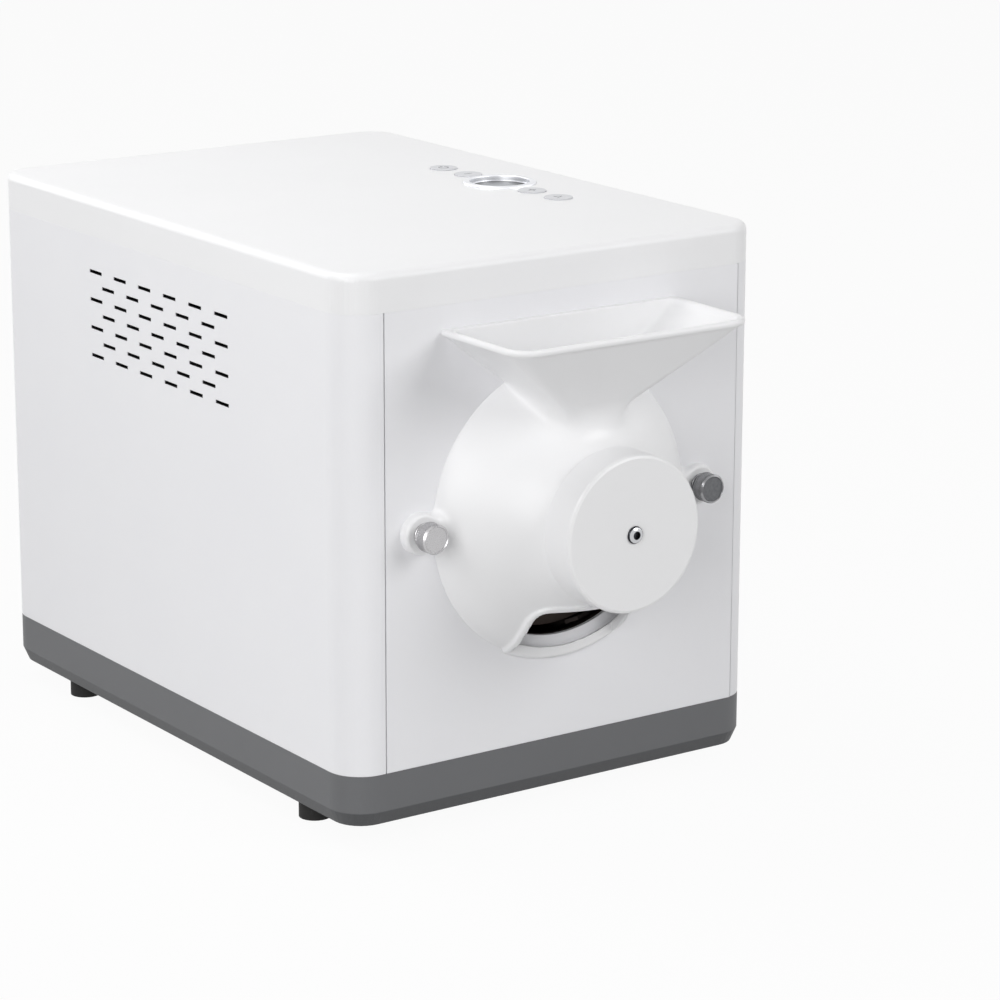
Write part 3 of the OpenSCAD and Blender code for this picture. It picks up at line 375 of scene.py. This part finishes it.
def funnelDistance(p, inset, c, planes):
    # greatest of the distances to the planes, and to the mouth's outline above the lip's lower edge
    normals, reaches = planes
    slant = np.full(p.shape[1], -c["farOff"])
    for normal, reach in zip(normals.T, reaches):
        slant = np.maximum(slant, normal[0] * p[0] + normal[1] * p[1] + normal[2] * p[2] - reach)
    rim = mouthDistance(p, c["mouthHalf"] - inset, c["mouthReach"] - inset, c["mouthCorner"] - inset)
    return slant, rim


def coverBody(p, c, planes):
    # The bell, funnel, lip, ears and bead run together over their blends; the hollow is taken out, the hub
    # is put in, and the bush's seat, the outlet and the ears' holes are cut.
    u, v, w = p
    bell = bellDistance(p, c)
    radius = np.hypot(u, v)
    outside = smoothMax(bell, w - c["reach"], c["faceRound"])
    hollow = smoothMax(bell + c["wall"], w - c["reach"] + c["wall"], c["innerRound"])
    far = np.full_like(u, c["farOff"])
    high = v > c["funnelFrom"]
    near = np.stack([u[high], v[high], w[high]])
    funnel, channel = far.copy(), far.copy()
    slant, rim = funnelDistance(near, c["lipOut"], c, planes)
    funnel[high] = np.maximum(np.maximum(slant, rim), near[1] - c["mouthTop"])
    inner = smoothMax(slant + c["funnelWall"], rim + c["funnelWall"], c["innerRound"])
    channel[high] = smoothMax(inner, c["wall"] - near[2], c["innerRound"])
    lip = smoothMax(mouthDistance(p, c["mouthHalf"], c["mouthReach"], c["mouthCorner"]),
                    np.abs(v - c["mouthTop"] + c["lipHeight"] / 2) - c["lipHeight"] / 2, c["lipRound"])
    width = c["blendLeast"] + (c["blend"] - c["blendLeast"]) * np.clip(w / c["blendFrom"], 0, 1)
    outside = smoothMin(outside, funnel, width)
    outside = smoothMin(outside, lip, c["lipBlend"])
    earPin = np.hypot(np.abs(u) - c["earPlace"], v)
    ear = smoothMax(earPin - c["earRadius"], w - c["earThick"], c["earRound"])
    outside = smoothMin(outside, ear, c["earBlend"])
    border = smoothMax(np.abs(u) - c["outletHalf"] - c["beadWidth"], v - c["outletTop"] - c["beadWidth"],
                       c["beadCorner"])
    bead = smoothMax(np.maximum(bell - c["beadOut"], w - c["reach"] + c["faceBehind"]), border,
                     c["beadRound"])
    outside = smoothMin(outside, bead, c["beadBlend"])
    body = smoothMax(outside, -np.minimum(hollow, channel), c["edgeRound"])
    hub = np.maximum(np.maximum(radius - c["hubRadius"], c["hubBack"] - w),
                     w - c["reach"] + c["faceBehind"])
    body = smoothMin(body, hub, c["hubBlend"])
    seat = np.maximum(radius - c["bushRadius"], w - c["reach"] + c["wall"])
    body = smoothMax(body, -seat, c["boreRound"])
    outlet = smoothMax(np.abs(u) - c["outletHalf"], v - c["outletTop"], c["outletCorner"])
    body = smoothMax(body, -np.maximum(outlet, c["outletFrom"] - w), c["edgeRound"])
    return smoothMax(body, c["earHole"] - earPin, c["boreRound"])


def coverDistance(p, c, planes):
    # the body, cut off flat by the panel it sits on
    return np.maximum(coverBody(p, c, planes), -p[2])


def gradient(distance, p, c, planes):
    # central differences over 0.1 mm
    return np.stack([(distance(p + d, c, planes) - distance(p - d, c, planes)) / 0.1
                     for d in 0.05 * np.eye(3)[:, :, None]])


def surfaceNet(field, low, step):
    # One vertex per cell that the surface crosses, at the mean of the crossings on the cell's edges. Each
    # grid edge whose ends differ in sign gives one quad among the four cells round it.
    inside = field < 0
    shape = np.array(field.shape) - 1
    total, count = np.zeros((*shape, 3)), np.zeros(shape)
    corners = [slice(None, -1), slice(1, None)]
    for axis in range(3):
        for a in (0, 1):
            for b in (0, 1):
                pick = [corners[a], corners[b]]
                pick.insert(axis, corners[0])
                start = tuple(pick)
                pick[axis] = corners[1]
                end = tuple(pick)
                cross = inside[start] != inside[end]
                f0, f1 = field[start][cross], field[end][cross]
                offset = np.zeros((len(f0), 3))
                others = [k for k in range(3) if k != axis]
                offset[:, others[0]], offset[:, others[1]] = a, b
                offset[:, axis] = f0 / (f0 - f1)
                total[cross] += offset
                count[cross] += 1
    active = count > 0
    index = np.full(shape, -1)
    index[active] = np.arange(active.sum())
    cells = np.argwhere(active)
    points = low + step * (cells + total[active] / count[active][:, None])
    quads = []
    for axis in range(3):
        others = [(axis + 1) % 3, (axis + 2) % 3]
        edge = np.diff(inside.astype(np.int8), axis=axis)
        for sign in (1, -1):
            at = np.argwhere(edge == sign)
            at = at[(at[:, others[0]] > 0) & (at[:, others[1]] > 0)
                    & (at[:, others[0]] < shape[others[0]]) & (at[:, others[1]] < shape[others[1]])]
            ring = []
            for da, db in ((0, 0), (1, 0), (1, 1), (0, 1)):
                cell = at.copy()
                cell[:, others[0]] -= da
                cell[:, others[1]] -= db
                ring.append(index[tuple(cell.T)])
            quad = np.stack(ring, axis=1)
            quads.append(quad if sign < 0 else quad[:, ::-1])
    return points, np.vstack(quads)


def makeCover(c):
    # samples the distance on a grid, takes the surface net and slides its points onto the surface: each
    # moves against the slope, by the distance there over the slope's square
    i = c["lipOut"]
    planes = funnelPlanes(c["mouthHalf"] - i, c["mouthReach"] - i, c["mouthCorner"] - i,
                          c["throatRadius"] - i, c["throatReach"] - i, c["mouthTop"] - c["lipHeight"],
                          c["throatUp"])
    roomU, roomV, roomW = c["room"]
    low = np.array([-c["earPlace"] - c["earRadius"] - roomU, -c["rimRadius"] - roomV, -roomW])
    high = np.array([-low[0], c["mouthTop"] + c["roomAbove"], c["mouthReach"] + c["roomAbove"]])
    axes = [np.arange(a, b, c["step"]) for a, b in zip(low, high)]
    grid = np.stack(np.meshgrid(*axes, indexing="ij"))
    flat = grid.reshape(3, -1)
    field = coverDistance(flat, c, planes).reshape(grid.shape[1:])
    points, quads = surfaceNet(field, low, c["step"])
    p = points.T
    most = c["slideMost"]
    for _ in range(c["slideTurns"]):
        value = coverDistance(p, c, planes)
        slope = gradient(coverDistance, p, c, planes)
        size = np.maximum((slope ** 2).sum(0), 0.2)
        p = p - np.clip(value / size, -most, most) * slope
        p = points.T + np.clip(p - points.T, -0.5 * c["step"], 0.5 * c["step"])
    # the points beside the panel go exactly onto the edge where the body meets it
    foot = p[2] < c["footHeight"] * c["step"]
    foot &= np.abs(coverBody(p, c, planes)) < c["footReach"] * c["step"]
    edge = p[:, foot] * np.array([[1], [1], [0]])
    for _ in range(c["slideTurns"]):
        rise = gradient(coverBody, edge, c, planes)
        size = np.maximum((rise[:2] ** 2).sum(0), 0.2)
        edge[:2] -= np.clip(coverBody(edge, c, planes) / size, -most, most) * rise[:2]
    p[:, foot], slope[:, foot] = edge, rise
    return p, quads, slope / np.sqrt(np.maximum((slope ** 2).sum(0), 1e-6))


def toRow(p, axisX, axisZ):
    # millimetres U, V, W in front of the panel to metres in the row's frame
    return np.stack([axisX + p[0] * mm, frontY - p[2] * mm, axisZ + p[1] * mm], axis=1)


def newPiece(name, points, faces, finish, body, normals=None):
    # one mesh object at the origin, riding with its body; smooth, but for edges over 35 degrees where no
    # normals come
    mesh = bpy.data.meshes.new(name)
    mesh.from_pydata(points.tolist(), [], faces.tolist() if hasattr(faces, "tolist") else faces)
    mesh.polygons.foreach_set("use_smooth", np.ones(len(mesh.polygons), dtype=bool))
    if normals is None:
        mesh.set_sharp_from_angle(angle=math.radians(35))
    else:
        mesh.normals_split_custom_set_from_vertices(normals.tolist())
    mesh.materials.append(materials[finish])
    mesh.update()
    piece = bpy.data.objects.new(name, mesh)
    scene.collection.objects.link(piece)
    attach(piece, body)
    return piece


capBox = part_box("cover_cap")
axisX, axisZ = (capBox[0].x + capBox[1].x) / 2, (capBox[0].z + capBox[1].z) / 2
coverPoints, coverQuads, coverNormals = makeCover(cover)
coverPiece = newPiece("mouldedCover", toRow(coverPoints, axisX, axisZ), coverQuads, "whiteAbs", "front_cover",
                      np.stack([coverNormals[0], -coverNormals[2], coverNormals[1]], axis=1))
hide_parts("front_cover")
print("front cover moulded:", len(coverQuads), "quads")


# Turned pieces: thumbscrews, cap screw, display

def turned(profile, segments, shape=None, ring=False):
    # Profile points (radius, height) carried round the axis, upwards on the outside. A solid's profile
    # starts and ends on the axis; a ring's is a closed loop. shape(radius, height, turn) may change the
    # radius.
    profile = np.array(profile, float)
    rows = profile if ring else profile[1:-1]
    turn = np.arange(segments) * 2 * np.pi / segments
    radius, height = (rows[:, k][:, None] + 0 * turn for k in (0, 1))
    if shape:
        radius = shape(radius, height, turn)
    points = np.stack([radius * np.cos(turn), radius * np.sin(turn), height], axis=-1).reshape(-1, 3)
    at = np.arange(len(rows) * segments).reshape(len(rows), segments)
    if ring:
        at = np.vstack([at, at[:1]])
    beside = np.roll(at, -1, axis=1)
    faces = np.stack([at[:-1], beside[:-1], beside[1:], at[1:]], axis=-1).reshape(-1, 4).tolist()
    if not ring:
        low, high = len(points), len(points) + 1
        points = np.vstack([points, [[0, 0, profile[0, 1]], [0, 0, profile[-1, 1]]]])
        faces += [[low, b, a] for a, b in zip(at[0], beside[0])]
        faces += [[high, a, b] for a, b in zip(at[-1], beside[-1])]
    return points, [[int(i) for i in face] for face in faces]


thumbscrew = {
    # mm, counted forward from the panel
    "tip": -13.0, "tipChamfer": 0.7, "shankRadius": 2.4, "pitch": 0.8, "threadDepth": 0.25,
    "threadRow": 0.25,       # height of one row of the thread's mesh
    "threadEnd": 4.6, "seat": 5.35, "collarRadius": 6.0, "collarEnd": 6.4, "collarChamfer": 0.2,
    "neckRadius": 4.4, "headStart": 8.1, "headRadius": 7.2, "headChamfer": 0.6,
    "face": 15.6, "recess": 0.6, "rimWidth": 1.1,
    "knurlTop": 0.9,         # the knurl ends this far behind the face
    "knurlRows": 22, "knurlLead": 1.5, "grooves": 40, "grooveDepth": 0.3,
    "ridge": 1.6,            # the higher, the wider the flats left between the grooves
    "segments": 200,
}


def makeThumbscrew(name, node, headFinish, faceFinish, v):
    # Turned from the tip up: threaded shank, collar, neck, knurled head with a sunk face. The thread is a
    # cosine that climbs by its pitch each turn; the knurl is the lesser of two crossing sines.
    knurlLow, knurlHigh = v["headStart"] + v["headChamfer"], v["face"] - v["knurlTop"]
    collar = v["collarChamfer"]
    threadRows = np.arange(v["tip"] + 2 * v["threadRow"], v["threadEnd"], v["threadRow"])
    profile = [(0, v["tip"]), (v["shankRadius"] - v["tipChamfer"], v["tip"])]
    profile += [(v["shankRadius"], h) for h in threadRows]
    profile += [(v["shankRadius"], v["seat"]), (v["collarRadius"] - collar, v["seat"]),
                (v["collarRadius"], v["seat"] + collar), (v["collarRadius"], v["collarEnd"] - collar),
                (v["collarRadius"] - collar, v["collarEnd"]),
                (v["neckRadius"], v["collarEnd"]), (v["neckRadius"], v["headStart"]),
                (v["headRadius"] - v["headChamfer"], v["headStart"])]
    profile += [(v["headRadius"], h) for h in np.linspace(knurlLow, knurlHigh, v["knurlRows"])]
    inner = v["headRadius"] - v["rimWidth"]
    profile += [(v["headRadius"] - 0.45, v["face"] - 0.35), (v["headRadius"] - 0.8, v["face"] - 0.05),
                (inner + 0.25, v["face"]), (inner, v["face"] - 0.2), (inner - 0.15, v["face"] - v["recess"]),
                (0.5 * inner, v["face"] - v["recess"]), (0, v["face"] - v["recess"])]

    def cut(radius, height, turn):
        thread = 0.5 * v["threadDepth"] * (1 - np.cos(turn - 2 * np.pi * height / v["pitch"]))
        cross = [np.abs(np.sin(v["grooves"] / 2 * turn + way * np.pi * height / v["knurlLead"]))
                 for way in (1, -1)]
        knurl = v["grooveDepth"] * (1 - np.minimum(1, v["ridge"] * np.minimum(*cross)))
        onThread = (height < v["threadEnd"]) & (height > v["tip"] + 0.1)
        onKnurl = (height > knurlLow) & (height < knurlHigh)
        return radius - np.where(onThread, thread, 0) - np.where(onKnurl, knurl, 0)

    points, faces = turned(profile, v["segments"], cut)
    low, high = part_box(node)
    place = toRow(points.T, (low.x + high.x) / 2, (low.z + high.z) / 2)
    piece = newPiece(name, place, faces, headFinish, node)
    piece.data.materials.append(materials[faceFinish])
    sunk = (points[:, 2] > v["face"] - v["recess"] - 0.01) & (np.hypot(points[:, 0], points[:, 1]) < inner)
    finishOf = [int(all(sunk[i] for i in face)) for face in faces]
    piece.data.polygons.foreach_set("material_index", finishOf)
    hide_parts(node)


makeThumbscrew("knurledScrewLeft", "thumbscrew_left", "turnedSteel", "turnedSteel", thumbscrew)
makeThumbscrew("knurledScrewRight", "thumbscrew_right", "rightScrewSteel", "rightScrewFaceSteel", thumbscrew)

capScrew = {
    # mm, counted from the cap's face
    "tip": -16.0, "shankRadius": 1.45, "sink": 1.8, "headRadius": 4.2, "headHeight": 2.0,
    "crown": 61.0,           # degrees of the dome's quarter ellipse
    "skirt": 0.35, "socketHalf": 1.7, "socketFloor": 0.2, "socketChamfer": 0.15, "socketCone": 0.3,
    "brightFrom": 1.97, "brightTo": 3.8,  # the radii between which the head shows plain chrome; inside and outside them dark is painted
    "segments": 96,
}


def makeCapScrew(v):
    # domed head, part of a quarter ellipse, with a hexagonal socket: radius = half the flats / cos(turn from
    # the flat's middle). The socket is painted dark as shade, the lower edge dark as a reflection.
    rise = np.radians(np.linspace(0, v["crown"], 12))
    bevel = v["socketChamfer"]
    profile = [(0, v["tip"]), (v["shankRadius"], v["tip"]), (v["shankRadius"], -v["sink"]),
               (v["headRadius"], 0.05)]
    profile += [(v["headRadius"] * math.cos(t), v["skirt"] + (v["headHeight"] - v["skirt"]) * math.sin(t))
                for t in rise]
    top = profile[-1][1]
    profile += [(v["socketHalf"] + bevel, top), (v["socketHalf"], top - bevel),
                (v["socketHalf"], v["socketFloor"]), (0, v["socketFloor"] - v["socketCone"])]

    def socket(radius, height, turn):
        flat = (turn + np.pi / 6) % (np.pi / 3) - np.pi / 6
        return np.where(np.abs(radius - v["socketHalf"]) < 0.01, radius / np.cos(flat), radius)

    points, faces = turned(profile, v["segments"], socket)
    low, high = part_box("cap_screw")
    points[:, 2] += (frontY - low.y) / mm - v["headHeight"]
    place = toRow(points.T, (low.x + high.x) / 2, (low.z + high.z) / 2)
    piece = newPiece("domedCapScrew", place, faces, "chromePlate", "front_cover")
    piece.data.materials.append(materials["darkShadeSteel"])
    out = np.hypot(points[:, 0], points[:, 1])
    # socket and lower edge take the dark steel: painted shade and a painted dark reflection
    dark = (out < v["brightFrom"]) | (out > v["brightTo"])
    finishOf = [int(any(dark[i] for i in face)) for face in faces]
    piece.data.polygons.foreach_set("material_index", finishOf)
    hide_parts("cap_screw")


makeCapScrew(capScrew)

display = {
    # mm, heights counted from the lid's top
    "outer": 18.8, "height": 1.2, "inner": 15.55, "ledge": 14.5, "ledgeHeight": -1.5, "spigot": 17.1,
    "foot": -3.4, "sink": 0.02, "shoulder": 0.15, "round": 1.1, "innerRound": 0.5,
    "glassRadius": 14.4, "glassTop": -glassSunk / mm, "glassFoot": -3.0, "glassEdge": 0.3, "glassCrown": 0.02,
    "segments": 128,
}


def makeDisplay(v):
    # bezel: a ring whose outer top edge is a quarter ellipse and whose inner edge is a small quarter circle
    arc = np.radians(np.linspace(0, 90, 9))
    rise = v["height"] - v["shoulder"]
    loop = [(v["spigot"], v["foot"]), (v["spigot"], -v["sink"]), (v["outer"], -v["sink"]),
            (v["outer"], v["shoulder"])]
    loop += [(v["outer"] - v["round"] * (1 - math.cos(t)), v["shoulder"] + rise * math.sin(t))
             for t in arc[1:]]
    loop += [(v["inner"] + v["innerRound"] * (1 - math.sin(t)),
              v["height"] - v["innerRound"] * (1 - math.cos(t))) for t in arc]
    loop += [(v["inner"], v["ledgeHeight"]), (v["ledge"], v["ledgeHeight"]), (v["ledge"], v["foot"])]
    # glass: a disc with a bevelled edge
    wide, top = v["glassRadius"], v["glassTop"]
    glass = [(0, v["glassFoot"]), (wide, v["glassFoot"]), (wide, top - v["glassEdge"]),
             (wide - v["glassEdge"], top - v["glassCrown"]), (0.8 * wide, top), (0.4 * wide, top), (0, top)]
    for name, profile, ring, finish, slot, node in (
            ("platedBezel", loop, True, "satinChrome", "chrome", "display_bezel"),
            ("displayGlass", glass, False, "acrylicWindowReflection", "lens", "display_lens")):
        points, faces = turned(profile, v["segments"], ring=ring)
        place = points * mm + np.array([windowX, windowY, lidTop])
        piece = newPiece(name, place, faces, finish, "housing")
        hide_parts(node)


makeDisplay(display)

keyMarks = {
    # mm; each mark is a list of strokes, a stroke a list of points, closed where it ends on its first point
    "width": 0.55, "height": 0.05, "sink": 0.02,
    "button_power": [[(2.5 * math.sin(math.radians(a)), 2.5 * math.cos(math.radians(a)))
                      for a in range(40, 321, 10)], [(0, 1.0), (0, 3.3)]],
    "button_down": [[(-2.4, 0), (2.4, 0)]],
    "button_up": [[(-2.4, 0), (2.4, 0)], [(0, 0.28), (0, 2.4)], [(0, -0.28), (0, -2.4)]],
    "button_start": [[(-1.5, -2.1), (-1.5, 2.1), (2.2, 0), (-1.5, -2.1)]],
}


def strokeMesh(path, width, low, high):
    # Flat strip of printed ink: the path's points moved half the width to either side, at two heights
    path = np.array(path, float)
    closed = np.allclose(path[0], path[-1]) and len(path) > 2
    if closed:
        path = path[:-1]
        step = np.roll(path, -1, axis=0) - np.roll(path, 1, axis=0)
    else:
        step = np.gradient(path, axis=0)
    side = np.stack([-step[:, 1], step[:, 0]], axis=1) / np.hypot(*step.T)[:, None] * width / 2
    rows = [np.column_stack([path + way * side, np.full(len(path), h)])
            for way, h in ((-1, low), (1, low), (1, high), (-1, high))]
    points = np.stack(rows, axis=1).reshape(-1, 3)
    at = np.arange(len(points)).reshape(-1, 4)
    if closed:
        at = np.vstack([at, at[:1]])
    beside = np.roll(at, -1, axis=1)
    faces = np.stack([at[:-1], beside[:-1], beside[1:], at[1:]], axis=-1).reshape(-1, 4).tolist()
    if not closed:
        faces += [at[0][::-1].tolist(), at[-1].tolist()]
    return points, faces


def makeKeyMarks(values):
    for node in ("button_power", "button_down", "button_up", "button_start"):
        low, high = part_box(node)
        points, faces = np.empty((0, 3)), []
        for stroke in values[node]:
            p, f = strokeMesh(stroke, values["width"], -values["sink"], values["height"])
            faces += [[i + len(points) for i in face] for face in f]
            points = np.vstack([points, p])
        place = points * mm + np.array([(low.x + high.x) / 2, (low.y + high.y) / 2, high.z])
        newPiece(node.replace("button_", "keyMark_"), place, faces, "greyInk", node)


makeKeyMarks(keyMarks)
print("screws, display and key marks made")


# Floor and light

studio = {
    "floorHalf": 6.0,        # metres
    "floorColour": "#cfcfcf",
    "glow": 0.95,            # share of the floor that camera rays see as plain white
    "sky": 0.16,             # brightness of the surrounding light
    "lamps": [
        # name, place, size, power in watts; each aims at the roaster's middle
        ("lowLeftLamp", (-1.8, -1.2, 0.8), 1.5, 19),
        ("frontLamp", (1.1, -2.0, 1.4), 1.5, 25),
        ("topLamp", (-0.35, 0.35, 1.25), 0.6, 5.5),
        ("leftLamp", (-1.2, -0.2, 1.1), 0.6, 4),
        ("rightLamp", (2.0, -0.6, 1.2), 1.5, 4.5),
        ("backLamp", (-0.8, 2.2, 1.0), 1.5, 10),
    ],
    "aim": (0, -0.02, 0.17),
}


def makeFloor(values):
    half = values["floorHalf"]
    mesh = bpy.data.meshes.new("floor")
    corners = [(-half, -half, 0), (half, -half, 0), (half, half, 0), (-half, half, 0)]
    mesh.from_pydata(corners, [], [(0, 1, 2, 3)])
    floor = bpy.data.objects.new("floor", mesh)
    scene.collection.objects.link(floor)
    material, tree = newMaterial("paintedFloor")
    paint = addNode(tree, "ShaderNodeBsdfDiffuse", {}, {"Color": toLinear(values["floorColour"])})
    white = addNode(tree, "ShaderNodeEmission", {}, {"Strength": 1.0})
    path = addNode(tree, "ShaderNodeLightPath")
    seen = addNode(tree, "ShaderNodeMath", {"operation": "MAXIMUM"}, {},
                   {0: (path, "Is Camera Ray"), 1: (path, "Is Glossy Ray")})
    seenAll = addNode(tree, "ShaderNodeMath", {"operation": "MAXIMUM"}, {},
                      {0: (seen, 0), 1: (path, "Is Transmission Ray")})
    share = addNode(tree, "ShaderNodeMath", {"operation": "MULTIPLY"}, {1: values["glow"]}, {0: (seenAll, 0)})
    blend = addNode(tree, "ShaderNodeMixShader", {}, {}, {0: (share, 0), 1: (paint, 0), 2: (white, 0)})
    addNode(tree, "ShaderNodeOutputMaterial", {}, {}, {"Surface": (blend, 0)})
    mesh.materials.append(material)


def makeSky(values):
    world = bpy.data.worlds.new("studioSky")
    world.use_nodes = True
    tree = world.node_tree
    tree.nodes.clear()
    path = addNode(tree, "ShaderNodeLightPath")
    mirrored = addNode(tree, "ShaderNodeMath", {"operation": "MAXIMUM"}, {},
                       {0: (path, "Is Camera Ray"), 1: (path, "Is Glossy Ray")})
    seen = addNode(tree, "ShaderNodeMath", {"operation": "MAXIMUM"}, {},
                   {0: (mirrored, 0), 1: (path, "Is Transmission Ray")})
    soft = addNode(tree, "ShaderNodeBackground", {}, {"Color": (1, 1, 1, 1), "Strength": values["sky"]})
    white = addNode(tree, "ShaderNodeBackground", {}, {"Color": (1, 1, 1, 1), "Strength": 1.0})
    blend = addNode(tree, "ShaderNodeMixShader", {}, {}, {0: (seen, 0), 1: (soft, 0), 2: (white, 0)})
    addNode(tree, "ShaderNodeOutputWorld", {}, {}, {"Surface": (blend, 0)})
    scene.world = world


def makeLamps(values):
    for name, place, size, power in values["lamps"]:
        data = bpy.data.lights.new(name, "AREA")
        data.shape, data.size, data.energy = "DISK", size, power
        lamp = bpy.data.objects.new(name, data)
        lamp.location = place
        lamp.rotation_euler = (Vector(values["aim"]) - Vector(place)).to_track_quat("-Z", "Y").to_euler()
        scene.collection.objects.link(lamp)


makeFloor(studio)
makeSky(studio)
makeLamps(studio)
scene.view_settings.view_transform = "Standard"
print("studio lit")

bpy.context.view_layer.update()
